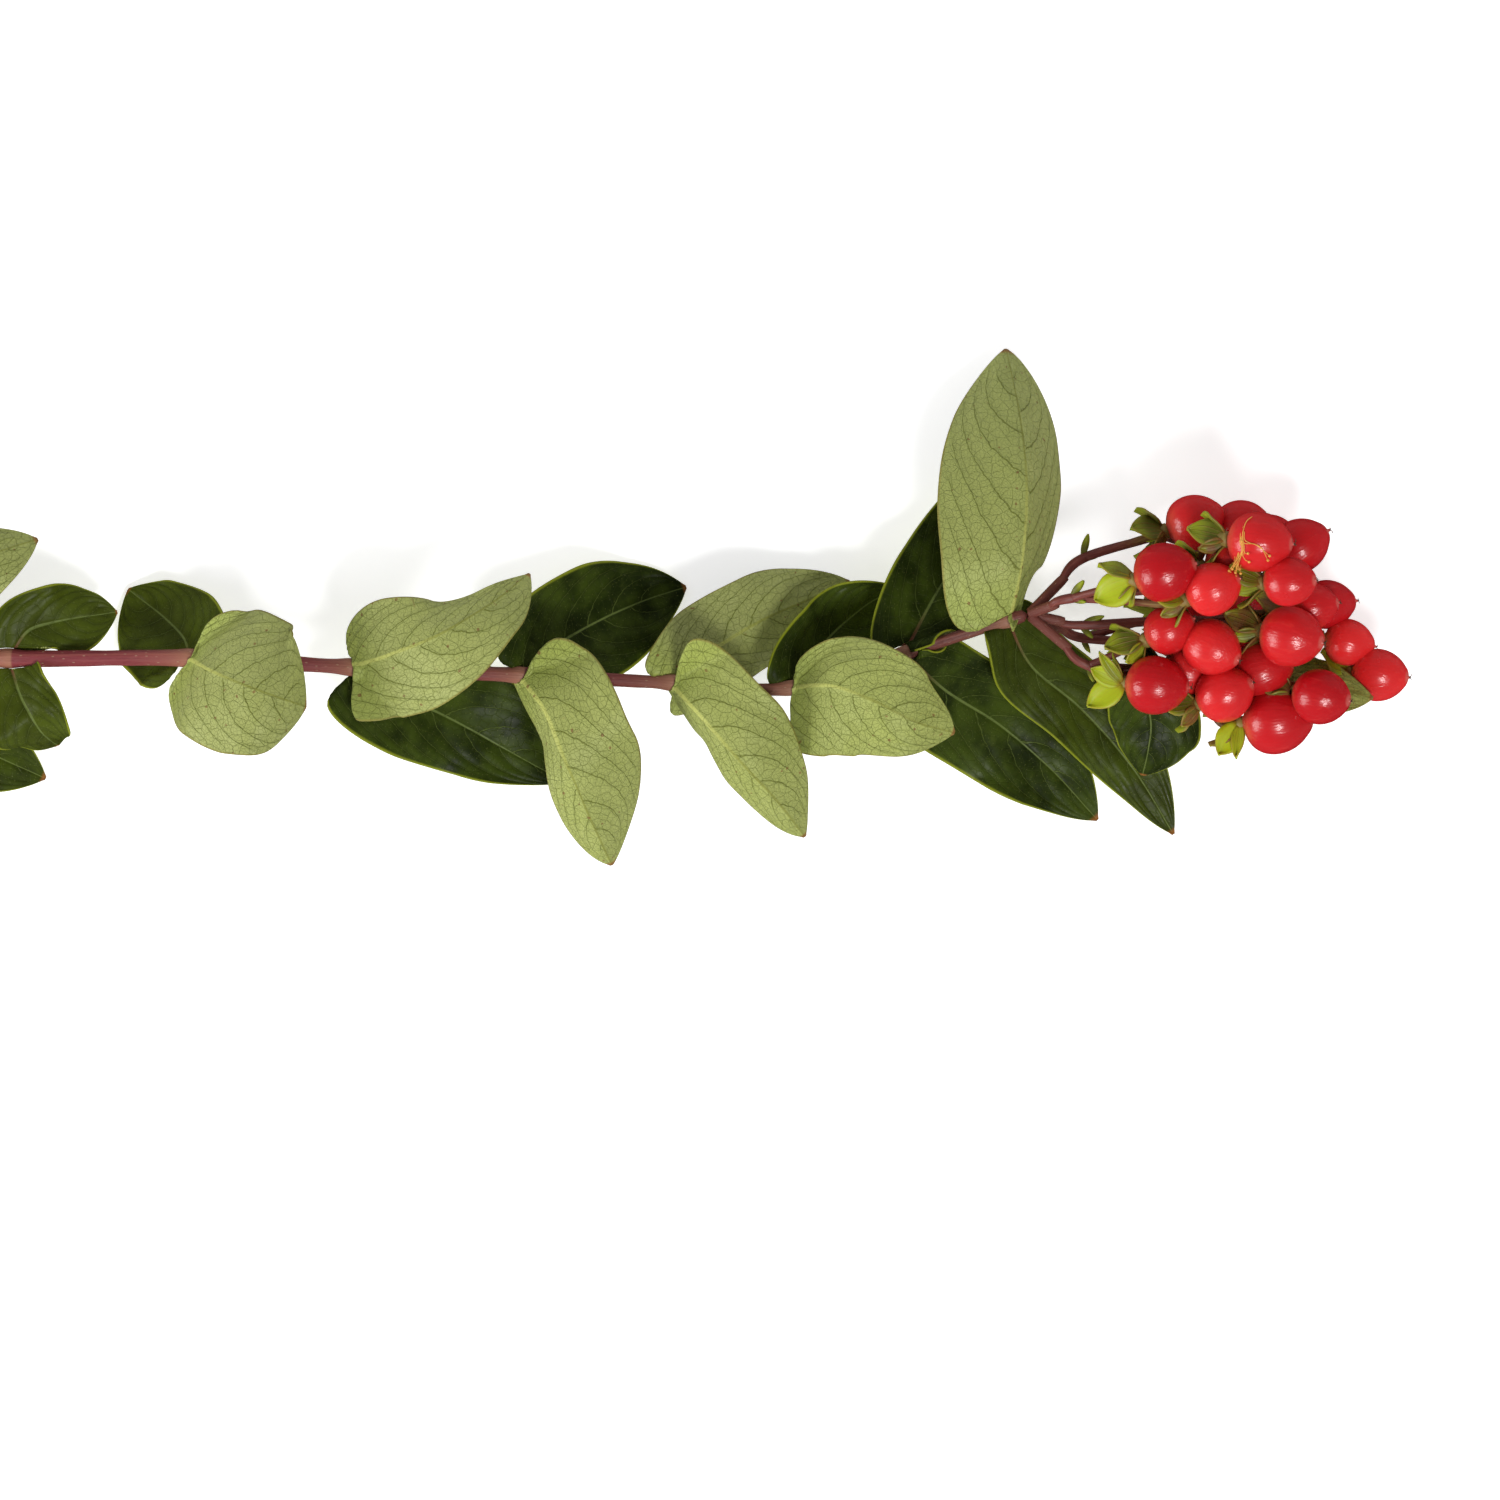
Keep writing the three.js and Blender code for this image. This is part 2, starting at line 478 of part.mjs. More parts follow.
// Places a spray's berries: each leans on an earlier one, above or below it, so that the two press
// lightly together. One that would stand too far off is drawn in until they touch.
function placeBerries(spray, firstIndex) {
  const placed = [];
  spray.berries.forEach((entry, i) => {
    const turn = ((firstIndex + i) * GOLDEN) % 1;
    const size = entry.size;
    const centre = vector([...entry.at, entry.z ?? 0]);
    const other = placed[entry.on];
    if (other) {
      centre.z = other.centre.z;
      const contact = (BERRY_CONTACT * (size + other.size)) / 2;
      const away = centre.clone().sub(other.centre).clampLength(0, contact);
      away.z = entry.side * Math.sqrt(Math.max(0, contact ** 2 - away.lengthSq()));
      centre.copy(other.centre).add(away);
    }
    const root = vector(spray.forks[entry.fork]);
    const axis = centre.clone().sub(root);
    axis.z *= BERRY_NOD;
    placed.push({ root, turn, size, centre, axis: axis.normalize() });
  });
  return placed;
}

// Turns a berry, which points away from its fork, until its foot faces none of its neighbours.
function turnAside(berry, berries) {
  for (let round = 0; round < 60; round += 1) {
    for (const other of berries) {
      const toOther = other.centre.clone().sub(berry.centre);
      if (other === berry || toOther.length() > 1.3 * BERRY_CONTACT) continue;
      const facing = -berry.axis.dot(toOther.normalize());
      if (facing > BERRY_SHY) berry.axis.addScaledVector(toOther, facing - BERRY_SHY).normalize();
    }
  }
}

// An egg, slimmer towards its tip, with its calyx end at -axis.
function makeBerry(berry, extra) {
  const egg = new THREE.SphereGeometry(1, BERRY_SIDES, BERRY_RINGS);
  const position = egg.attributes.position;
  for (let i = 0; i < position.count; i += 1) {
    const height = position.getY(i);
    const slim = (BERRY_RADIUS * berry.size * BERRY_GROWTH + extra) * (1 - BERRY_TAPER * height);
    const length = BERRY_HALF_LENGTH * berry.size + extra;
    position.setXYZ(i, position.getX(i) * slim, height * length, position.getZ(i) * slim);
  }
  egg.applyQuaternion(new THREE.Quaternion().setFromUnitVectors(new THREE.Vector3(0, 1, 0), berry.axis));
  egg.translate(...berry.centre);
  return solidOf(egg);
}

// ---------------------------------------------------------------- stalks and sepals of the head

// The foot of a berry, where its calyx stands.
const footOf = (berry) =>
  berry.centre.clone().addScaledVector(berry.axis, -BERRY_HALF_LENGTH * berry.size - GAP);

// A berry's own stalk, bent clear of the other berries between its fork and its foot.
function makePedicel(berry, berries, extra) {
  const foot = footOf(berry);
  const before = foot.clone().addScaledVector(berry.axis, -4);
  const free = [0.33, 0.67, 1].map((share) => berry.root.clone().lerp(before, share));
  for (let round = 0; round < 40; round += 1) {
    for (const other of berries) {
      for (const point of free) {
        const away = point.clone().sub(other.centre);
        const room = (other === berry ? BERRY_HALF_LENGTH : PEDICEL_ROOM) * other.size;
        if (away.length() < room) point.copy(other.centre).add(away.setLength(room));
      }
    }
  }
  const curve = new THREE.CatmullRomCurve3([berry.root, ...free, foot], false, "catmullrom", 0.5);
  const widening = 1 - RECEPTACLE_LENGTH / curve.getLength();
  const radiusAt = (share) => (share > widening ? RECEPTACLE_RADIUS : PEDICEL_RADIUS) + extra;
  const shares = [0, 0.5 * widening, widening, 0.35 + 0.65 * widening, 1];
  return stalk(curve, shares, radiusAt, PEDICEL_SIDES);
}

function makeSepal(berry, number, extra) {
  const foot = footOf(berry);
  const spin = 2 * Math.PI * (0.15 + number / 5); // square to a side of the five-sided foot
  const spread = (berry.turn * 7 + number * GOLDEN) % 1;
  const large = number % 2 === 0;
  const side = UP.clone().cross(berry.axis).normalize();
  const across = berry.axis.clone().cross(side);
  const radial = side.multiplyScalar(Math.cos(spin)).addScaledVector(across, Math.sin(spin));
  const width = berry.axis.clone().cross(radial);
  const length = SEPAL_LENGTH * (large ? 1 : 0.75) * (0.92 + 0.16 * spread) + extra;
  const half = SEPAL_HALF_WIDTH * (large ? 1 : 0.62);
  const back = THREE.MathUtils.degToRad(28 + 46 * spread); // how far it leans back from the berry
  const surface = (along, sidelong) => {
    const point = foot.clone().addScaledVector(radial, 1.05 + along * length * Math.cos(back));
    point.addScaledVector(berry.axis, -0.7 - along * length * Math.sin(back));
    point.addScaledVector(berry.axis, 0.8 * along * sidelong ** 2);
    const reach = half * bladeWidth(along, 0.55, 0.35, 1.7, 0.8) + extra;
    return point.addScaledVector(width, sidelong * reach);
  };
  const thicknessAt = (along, sidelong) =>
    SEPAL_THICKNESS * (1 - sidelong ** 2) * (along === 1 ? 0 : 1) + 2 * extra;
  return blade(surface, large ? SEPAL_ROWS : [0, 0.55, 1], [-1, 0, 1], thicknessAt);
}

// The green part of a spray's branch, from the end of the wood to its last fork.
function makeBranch(spray, extra) {
  const { end, direction } = branchEnd(spray);
  const start = end.addScaledVector(direction, GAP);
  const curve = smooth([start.toArray(), ...spray.forks]);
  const radiusAt = (share) => BRANCH_RADIUS * (1 - 0.3 * share) + extra;
  return stalk(curve, [0, 0.15, 0.3, 0.5, 0.75, 1], radiusAt, STALK_SIDES);
}

function makeStalks(name, extra) {
  const pedicels = berriesOf[name].map((berry) => makePedicel(berry, allBerries, extra));
  return union([makeBranch(SPRAYS[name], extra), ...pedicels]);
}

function makeCalyces(name, extra) {
  const numbers = [0, 1, 2, 3, 4];
  return union(berriesOf[name].flatMap((berry) => numbers.map((n) => makeSepal(berry, n, extra))));
}

const makeGreen = (name, extra) => makeStalks(name, extra).add(makeCalyces(name, extra));

// ---------------------------------------------------------------- the whole plant

const COLOURS = {
  stem: new THREE.MeshStandardMaterial({ color: 0x7c3038, roughness: 0.55, metalness: 0 }),
  leaf_under: new THREE.MeshStandardMaterial({ color: 0x98a95c, roughness: 0.7, metalness: 0 }),
  leaf_upper: new THREE.MeshStandardMaterial({ color: 0x2f4a1c, roughness: 0.4, metalness: 0 }),
  stalk: new THREE.MeshStandardMaterial({ color: 0x7d7a2c, roughness: 0.6, metalness: 0 }),
  berry: new THREE.MeshStandardMaterial({ color: 0xb8121c, roughness: 0.22, metalness: 0 }),
};

const plant = new THREE.Group();

function addPiece(name, solid, material) {
  const mesh = new THREE.Mesh(geometryOf(solid), material);
  mesh.name = name;
  plant.add(mesh);
}

let berryCount = 0;
const berriesOf = {};
for (const [name, spray] of Object.entries(SPRAYS)) {
  berriesOf[name] = placeBerries(spray, berryCount);
  berryCount += spray.berries.length;
}
const allBerries = Object.values(berriesOf).flat();
allBerries.forEach((berry) => turnAside(berry, allBerries));
const berryClearance = union(allBerries.map((berry) => makeBerry(berry, GAP)));

addPiece("stem", makeStem(0), COLOURS.stem);
for (const [name, leaf] of Object.entries(LEAVES)) {
  addPiece(name, makeLeaf(leaf, 0), COLOURS[PALE_SIDE_UP.includes(name) ? "leaf_under" : "leaf_upper"]);
}

// Each spray's green parts keep clear of the berries, the bracts and the sprays before it.
let taken = union(Object.values(LEAVES).filter((leaf) => leaf.spray).map((leaf) => makeLeaf(leaf, GAP)));
for (const [name, berries] of Object.entries(berriesOf)) {
  const green = makeGreen(name, 0);
  const clear = green.subtract(berryClearance).subtract(taken).subtract(tableTop);
  taken = taken.add(makeGreen(name, GAP));
  addPiece(name + "_stalks", largest(clear), COLOURS.stalk);
  const fruit = union(berries.map((berry) => makeBerry(berry, 0))).subtract(tableTop);
  addPiece(name + "_berries", fruit, COLOURS.berry);
}

// The origin is the centre of the bottom of the whole plant's box.
const box = new THREE.Box3().setFromObject(plant);
const centre = box.getCenter(new THREE.Vector3());
plant.position.set(-centre.x, -centre.y, -box.min.z);

export default plant;
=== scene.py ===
# %% [markdown]
# # A stem of hypericum berries
# This lesson dresses a cut hypericum stem that lies on a table: a woody stem with pairs of clasping
# leaves and a head of glossy red berries. A plain model of it, the frame, is loaded first. It says
# where everything is, and each finished piece takes the place of one of its nodes.

# %% Load the frame
import json
import math
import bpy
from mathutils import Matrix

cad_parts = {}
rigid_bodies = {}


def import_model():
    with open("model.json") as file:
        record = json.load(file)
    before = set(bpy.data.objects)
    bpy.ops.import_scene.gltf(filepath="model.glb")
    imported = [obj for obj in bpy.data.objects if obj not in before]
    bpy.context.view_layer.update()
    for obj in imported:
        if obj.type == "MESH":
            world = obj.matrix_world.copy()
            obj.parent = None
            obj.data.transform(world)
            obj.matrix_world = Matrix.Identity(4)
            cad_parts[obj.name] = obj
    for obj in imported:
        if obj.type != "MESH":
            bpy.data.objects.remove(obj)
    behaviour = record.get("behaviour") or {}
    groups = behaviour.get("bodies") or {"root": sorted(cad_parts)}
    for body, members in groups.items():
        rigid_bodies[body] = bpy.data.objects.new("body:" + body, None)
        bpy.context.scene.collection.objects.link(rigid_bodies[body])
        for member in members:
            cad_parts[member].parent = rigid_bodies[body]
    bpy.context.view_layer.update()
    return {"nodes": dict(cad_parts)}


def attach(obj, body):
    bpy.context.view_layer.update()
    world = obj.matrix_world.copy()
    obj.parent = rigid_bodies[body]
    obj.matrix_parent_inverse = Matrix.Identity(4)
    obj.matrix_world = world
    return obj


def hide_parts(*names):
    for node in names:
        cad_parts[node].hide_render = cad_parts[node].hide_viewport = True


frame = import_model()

from types import SimpleNamespace

import bpy
import numpy as np
from mathutils import Matrix, Vector

print(len(frame["nodes"]), "nodes in the frame")

# %% [markdown]
# ## The plant's own numbers
# All places are in millimetres in a growing frame, with the table at Z = 0, and PLACE moves them to
# the frame that was loaded. A leaf is a midrib of a few points with a width, a roll, a fold, a curl
# and a wave, because a leaf is told best by how its rib runs and how its halves hang from it.

# %% Stem and leaves in numbers
MM = 0.001
PLACE = np.array([61.127, -30.236, 0.0])
UP = np.array([0.0, 0.0, 1.0])
GAP = 0.35

STEM_LINE = np.array([
    [-262, 25, 1.9], [-225, 23, 6.8], [-190, 21, 12], [-155.2, 19.2, 16.5], [-117.1, 19.2, 20.5],
    [-83.3, 17.3, 22.5], [-47.9, 15.6, 23.5], [-16.3, 14, 24.5], [8.3, 12.9, 25],
    [32.3, 20.2, 25.5], [53.8, 27, 26.3], [58, 28.2, 26.5],
])
NODES = range(1, 11)  # entries of STEM_LINE where leaves stand or stood
STEM_BUTT_RADIUS, STEM_TIP_RADIUS = 2.05, 1.15
NODE_SWELLING, NODE_SPREAD = 0.375, 2.4
CUT_SLANT = math.radians(38)
LEAF_TIP_WIDTH = 0.35


def leaf(rib, half, widest, roll, fold, curl, wave, node=None, root=None, base=0.5,
         taper=1.35, lobe=4.2, pale_up=False, tone=0.5):
    """One leaf's numbers. half, widest, base, taper and lobe may be pairs, for its left and right.
    pale_up says that it lies turned over, and tone runs from dark 0 to yellowish 1."""
    return SimpleNamespace(
        rib=rib, half=half, widest=widest, roll=roll, fold=fold, curl=curl, wave=wave, node=node,
        root=root or STEM_LINE[node], base=base, taper=taper, lobe=lobe, pale_up=pale_up, tone=tone)


LEAVES = {
    "1_left": leaf(
        [[-183, 27, 20], [-172, 34, 26], [-160, 40, 25], [-149, 44, 19]], 12, 0.38, [10, -10],
        -14, -22, [1.2, 2, 0.1], node=2, pale_up=True, tone=0.4),
    "1_right": leaf(
        [[-183, 14, 8], [-172, 6, 3], [-160, -1, 1], [-149, -6, 1]], 12, 0.38, [-6, 6], 12, -10,
        [1.2, 2, 0.6], node=2, tone=0.5),
    "2_left": leaf(
        [[-151.5, 24.6, 17], [-147, 26.5, 16], [-140.5, 27.8, 14], [-133, 29, 11]], [8, 8.5], 0.4,
        [12, -4], 16, -12, [1.3, 2, 0.3], node=3, tone=0.62),
    "2_right": leaf(
        [[-153, 12.5, 19], [-150.5, 7.5, 21], [-148, 3.5, 18], [-145.5, 1, 11]], [7, 9.5], 0.42,
        [4, 14], 14, -24, [1.6, 2, 0.8], node=3, tone=0.62),
    "3_left": leaf(
        [[-119, 23.5, 11.5], [-123, 27.5, 6.5], [-127.5, 31, 3], [-131.5, 34, 1.5]], [13.5, 10.5],
        [0.4, 0.25], [4, -4], 8, -10, [1.3, 2, 0.2], node=4, base=[0.6, 0.8], taper=[1.8, 1.3],
        lobe=[4.2, 2.5], tone=0.62),
    "3_right": leaf(
        [[-112, 16.5, 31], [-103.5, 13, 38.5], [-96.5, 10.5, 38.5], [-92.3, 9, 30.5]],
        [17.2, 15.2], 0.4, [-6, -12], -6, -22, [0.9, 2, 0.5], node=4, taper=[2.0, 1.6],
        lobe=[3.2, 4.6], pale_up=True, tone=0.35),
    "4_left": leaf(
        [[-74.5, 19.8, 31], [-64, 23.8, 36], [-54.5, 29.6, 35], [-45.8, 36.5, 29]], [12.6, 13.5],
        0.24, [-4, -48], -10, -12, [1.2, 1.5, 0.85], node=5, base=[0.4, 0.85], taper=[0.7, 1.4],
        lobe=[0.6, 6.2], pale_up=True, tone=0.4),
    "4_right": leaf(
        [[-73, 11.5, 14], [-62, 6, 6], [-50.5, -0.5, 2], [-39.2, -6.7, 1]], [14, 12.4],
        [0.4, 0.2], [-4, 6], 12, -8, [1.2, 2, 0.4], node=5, base=[0.5, 0.7], taper=[1.8, 1.25],
        lobe=[4.2, 3], tone=0.3),
    "5_left": leaf(
        [[-40.5, 22, 16], [-31.3, 27.5, 8], [-22.5, 31.5, 3], [-13.5, 34.5, 1]], 12.5, 0.4,
        [8, -4], 13, -10, [1.2, 2, 0.15], node=6, tone=0.2),
    "5_right": leaf(
        [[-42.2, 7.9, 31], [-37.7, -3.3, 32], [-33.5, -13.5, 26], [-29, -24, 15]], [15.8, 8.3],
        0.32, [47, 0], -30, -8, [0.8, 2, 0.65], node=6, base=[0.6, 0.5], taper=[1.6, 2.6],
        lobe=[1.8, 3.4], pale_up=True, tone=0.55),
    "6_left": leaf(
        [[-8.5, 20.5, 19.5], [2, 27, 15], [12, 31.5, 10.5], [21, 35.5, 6.5]], 10.5, 0.38, [16, 6],
        -12, -12, [1.2, 2, 0.3], node=7, pale_up=True, tone=0.15),
    "6_right": leaf(
        [[-10, 7.1, 33], [-2.3, -1.8, 35], [5.2, -10, 30], [11.4, -18, 21]], [14.2, 7.8], 0.3,
        [47, 2], -30, -8, [0.8, 2, 0.75], node=7, base=[0.65, 0.55], taper=[1.2, 2.2],
        lobe=[3.4, 3.6], pale_up=True, tone=0.6),
    "7_left": leaf(
        [[13, 19.5, 19], [18.5, 25.5, 15], [24.5, 30.5, 13], [31, 34, 13]], 9.5, 0.42, [4, 26],
        14, 10, [1, 2, 0.55], node=8, tone=0.35),
    "7_right": leaf(
        [[17, 13.2, 33.5], [25.5, 10.2, 38.5], [34, 5.9, 38], [42.3, 3.6, 32]], [12, 14.8],
        [0.42, 0.22], [-4, 10], -10, -14, [0.8, 2, 0.1], node=8, base=[0.45, 0.8],
        taper=[1.35, 1.05], lobe=[1, 0.4], pale_up=True, tone=0.7),
    "8_left": leaf(
        [[38, 31, 18], [45, 42.5, 9], [50.5, 53, 4], [54.5, 62.5, 1.5]], 11, 0.4, [-4, 4], 12, -8,
        [1.1, 2, 0.7], node=9, tone=0.3),
    "8_right": leaf(
        [[41, 12.5, 15], [53, 5, 6], [64, -4.5, 2], [73.5, -14.8, 1]], [11, 13], 0.4, [2, -4], 10,
        -8, [1.3, 2, 0.45], node=9, tone=0.3),
    "9_left": leaf(
        [[56.5, 40.5, 31], [57.3, 57.3, 27], [56, 72, 17], [54, 84.5, 4.5]], [18.5, 15],
        [0.38, 0.55], [44, 12], -30, -8, [0.6, 1.5, 0.2], node=10, base=[0.5, 0.25],
        taper=[1.25, 1.7], pale_up=True, tone=0.5),
    "9_right": leaf(
        [[59, 17.5, 15.5], [69.5, 8.8, 9.5], [80.5, -3.5, 5.5], [89.5, -17.8, 2.5]], [9.5, 8.6],
        0.34, [-16, 4], 8, -14, [1.2, 2, 0.9], node=10, base=[0.3, 0.7], tone=0.55),
    "10": leaf(
        [[83, 10.5, 18.5], [84, 5, 16], [83.5, 0, 14.5], [82.5, -5.3, 11.5]], [11, 9],
        [0.6, 0.45], [-4, 8], -6, -20, [0.8, 2, 0.4], root=[81.5, 14.5, 24.5], base=[0.12, 0.2],
        taper=[0.8, 1.0], lobe=0.5, tone=0.4),
    "11": leaf(
        [[101, 13.8, 18], [110, 15, 17.3], [119, 14, 19.4], [129.5, 10.8, 28.4]], [4.9, 6.8], 0.6,
        [0, 4], -5, -8, [0.6, 2, 0.4], root=[92.5, 13.6, 21], base=0.2, taper=1.05, lobe=0.5,
        pale_up=True, tone=0.9),
}
print(len(LEAVES), "leaves")

# %% [markdown]
# The head of berries is five sprays. Each spray is a branch with forks, and its berries lean on one
# another: a berry names the earlier one that it presses on, and whether it lies above or below it.
# lime lists the sepals that it spreads in plain view above its foot: the way each one fans out in
# degrees, its length and half its width in millimetres, and its tone from olive 0 to lime 1.
# away_from is a place that the berry points away from, where that isn't its fork.

# %% The berry head in numbers
SPRAYS = {
    "upper_front": {"forks": [[66.7, 31.5, 31], [90.5, 34, 27]], "berries": [
        dict(at=[85.7, 36.7], z=42, fork=0, size=1.0, lime=[[12, 8.6, 3.7, 1.0]]),
        dict(at=[95.8, 33.3], on=0, side=-1, fork=0, size=0.9),
        dict(at=[100.1, 39.4], on=1, side=-1, fork=0, size=0.88),
        dict(at=[105, 42.8], on=2, side=1, fork=1, size=1.02),
        dict(at=[111.4, 34.4], on=3, side=1, fork=1, size=0.84)]},
    "upper_back": {"forks": [[69.5, 40, 23], [86, 45, 17]], "berries": [
        dict(at=[93, 47.7], z=23, fork=0, size=0.94),
        dict(at=[102.8, 46.9], on=0, side=-1, fork=1, size=0.9),
        dict(at=[109.5, 44.2], on=1, side=-1, fork=1, size=0.85),
        dict(at=[115.2, 42.9], on=2, side=1, fork=1, size=0.92)]},
    "middle": {"forks": [[69, 26, 23.5], [95, 27, 20], [111, 22.5, 14]], "berries": [
        dict(at=[112.2, 23.4], z=36.4, fork=1, size=1.03),
        dict(at=[117, 29.9], on=0, side=-1, fork=1, size=0.8),
        dict(at=[120.9, 30.4], on=1, side=-1, fork=1, size=0.84),
        dict(at=[125.2, 22.2], on=2, side=1, fork=1, size=0.8),
        dict(at=[132, 15.2], on=3, side=-1, fork=2, size=0.9)]},
    "lower_front": {"forks": [[70.5, 17.5, 28], [91, 13.5, 22], [105, 12, 20.8]], "berries": [
        dict(at=[84.4, 13.4], z=33.5, fork=0, size=1.0, away_from=[70, 14.4, 28],
             lime=[[40, 8.6, 3.0, 0.92], [-22, 7.0, 2.3, 0.75], [-54, 8.2, 1.3, 0.5]]),
        dict(at=[91.5, 16.5], on=0, side=-1, fork=0, size=0.85),
        dict(at=[95.9, 21.1], on=1, side=1, fork=0, size=0.95),
        dict(at=[98.7, 11.8], on=1, side=1, fork=1, size=0.95),
        dict(at=[87, 25], on=2, side=-1, fork=0, size=0.82),
        dict(at=[106.8, 16.9], on=3, side=-1, fork=1, size=0.97),
        dict(at=[110.1, 5.2], on=5, side=1, fork=1, size=1.1, away_from=[93, 5, 22],
             lime=[[54, 7.8, 3.0, 0.9], [84, 7.5, 1.4, 0.65]]),
        dict(at=[118.6, 11], on=6, side=1, fork=2, size=0.94)]},
    "under": {"forks": [[69.8, 23.5, 14.5], [84, 22.5, 12]], "berries": [
        dict(at=[93, 30], z=5.3, fork=0, size=0.95),
        dict(at=[103, 27.5], on=0, side=1, fork=1, size=0.92),
        dict(at=[99.5, 16.5], on=1, side=-1, fork=1, size=0.95),
        dict(at=[110, 12.5], on=2, side=1, fork=1, size=0.92)]},
}
GOLDEN = 0.618034  # spreads sizes and turns evenly
BERRY_HALF_LENGTH, BERRY_RADIUS, BERRY_TAPER = 6.5, 6.1, 0.1
BERRY_CONTACT, BERRY_SHY, BERRY_NOD, STEEPEST = 11.0, 0.7, 0.75, 0.48
BRANCH_RADIUS, BRANCH_SHARE, PEDICEL_RADIUS, PEDICEL_ROOM = 0.95, 0.7, 0.7, 7.6
SEPAL_LENGTH, SEPAL_HALF_WIDTH = 6.8, 3.3
print(sum(len(spray["berries"]) for spray in SPRAYS.values()), "berries")

# %% [markdown]
# ## Helpers for shapes
# A rail is a smooth line through given points, walked by the share of its length. Leaf ribs, stems,
# stalks and dried stamens all run on rails.

# %% Rails
def unit(v):
    """The same direction with length 1."""
    return v / np.maximum(np.linalg.norm(v, axis=-1, keepdims=True), 1e-12)


def ease(low, high, x):
    """0 below low, 1 above high, and smooth between."""
    t = np.clip((x - low) / (high - low), 0, 1)
    return t * t * (3 - 2 * t)


class Rail:
    """A smooth line through points in millimetres."""

    def __init__(self, points):
        p = np.array(points, float)
        p = np.vstack([2 * p[0] - p[1], p, 2 * p[-1] - p[-2]])
        t = np.linspace(0, 1, 60)[:, None]
        spans = []
        for before, start, end, after in zip(p, p[1:], p[2:], p[3:]):
            leave, arrive = (end - before) / 2, (after - start) / 2
            bow = 3 * (end - start) - 2 * leave - arrive
            twist = 2 * (start - end) + leave + arrive
            spans.append(start + leave * t + bow * t**2 + twist * t**3)
        self.path = np.vstack([span[:-1] for span in spans] + [spans[-1][-1:]])
        steps = np.linalg.norm(np.diff(self.path, axis=0), axis=1)
        walked = np.concatenate([[0], np.cumsum(steps)])
        self.length = walked[-1]
        self.shares = walked / self.length

    def at(self, share):
        return np.stack([np.interp(share, self.shares, self.path[:, k]) for k in range(3)], -1)

    def heading(self, share):
        step = 0.004
        return unit(self.at(np.minimum(share + step, 1)) - self.at(np.maximum(share - step, 0)))


stem_rail = Rail(STEM_LINE)
node_shares = [
    stem_rail.shares[np.argmin(np.linalg.norm(stem_rail.path - STEM_LINE[n], axis=1))]
    for n in NODES
]


def swelling(share):
    """How swollen the stem is at a share of its length, 0 to 1."""
    away = [(share - at) * stem_rail.length / NODE_SPREAD for at in node_shares]
    return np.max([np.exp(-(a**2)) for a in away], axis=0)


def stem_radius(share):
    plain = STEM_BUTT_RADIUS + (STEM_TIP_RADIUS - STEM_BUTT_RADIUS) * share
    return plain + NODE_SWELLING * swelling(share)


print("stem length", round(stem_rail.length, 1), "mm")

# %% [markdown]
# Blades, stalks and sepals all start as Blender's grid primitive. Its points are then laid on a
# surface, which keeps its tidy quads. A stalk is a grid rolled into a tube whose seam is merged.
# Numbers that a material needs later, such as how far along a leaf a point lies, are stored on the
# points as attributes.

# %% Grids, tubes and thickness
def pick(*pieces):
    """Selects these pieces alone, and makes the first one active."""
    bpy.ops.object.select_all(action="DESELECT")
    for piece in pieces:
        piece.select_set(True)
    bpy.context.view_layer.objects.active = pieces[0]


def in_rows(*values):
    """Numbers side by side, one row for each point. A lone number is the same for all."""
    return np.stack(np.broadcast_arrays(*values), -1)


def read_points(piece):
    flat = np.empty(3 * len(piece.data.vertices))
    piece.data.vertices.foreach_get("co", flat)
    return flat.reshape(-1, 3)


def move_points(piece, points):
    piece.data.vertices.foreach_set("co", points.ravel())
    piece.data.update()


def note(piece, name, values):
    """Stores one vector for each point of a piece."""
    attribute = piece.data.attributes.new(name, "FLOAT_VECTOR", "POINT")
    attribute.data.foreach_set("vector", values.astype(np.float32).ravel())


def edit(piece, step):
    """Runs an edit-mode step on a piece that is selected all over."""
    pick(piece)
    bpy.ops.object.mode_set(mode="EDIT")
    bpy.ops.mesh.select_all(action="SELECT")
    step()
    bpy.ops.object.mode_set(mode="OBJECT")


def thicken(sheet, thickness, second_side=0):
    """Gives a sheet its thickness, half to each side. second_side picks the far side's finish."""
    solid = sheet.modifiers.new("Thickness", "SOLIDIFY")
    solid.thickness, solid.offset, solid.material_offset = thickness, 0, second_side
    pick(sheet)
    bpy.ops.object.modifier_apply(modifier=solid.name)


def lay_grid(name, rows, columns, place, finishes, origin=PLACE):
    """A grid on a surface: place(along 0..1, across -1..1) gives points in mm, and notes."""
    bpy.ops.mesh.primitive_grid_add(x_subdivisions=rows, y_subdivisions=columns, size=2)
    piece = bpy.context.object
    piece.name = piece.data.name = name
    flat = read_points(piece)
    points, notes = place(flat[:, 0] / 2 + 0.5, flat[:, 1])
    move_points(piece, (points + origin) * MM)
    for key, values in notes.items():
        note(piece, key, values)
    for finish in finishes:
        piece.data.materials.append(finish)
    return piece


def lay_tube(name, rail, radius_at, rows, columns, finishes, notes_at=None, stretch=(0, 1),
             origin=PLACE):
    """A round stalk along a rail, closed at both ends. stretch moves more rows to where it says."""

    def place(along, across):
        share = np.interp(along, np.linspace(0, 1, len(stretch)), stretch)
        heading = rail.heading(share)
        side = unit(np.cross(UP, heading))
        over = np.cross(heading, side)
        angle = -np.pi * across[:, None]
        ends = (along < 1e-6) | (along > 1 - 1e-6)
        radius = np.where(ends, 0, radius_at(share, across))[:, None]
        points = rail.at(share) + radius * (np.cos(angle) * side + np.sin(angle) * over)
        return points, notes_at(share, across) if notes_at else {}

    piece = lay_grid(name, rows, columns, place, finishes, origin)
    edit(piece, lambda: bpy.ops.mesh.remove_doubles(threshold=1e-6))
    return piece


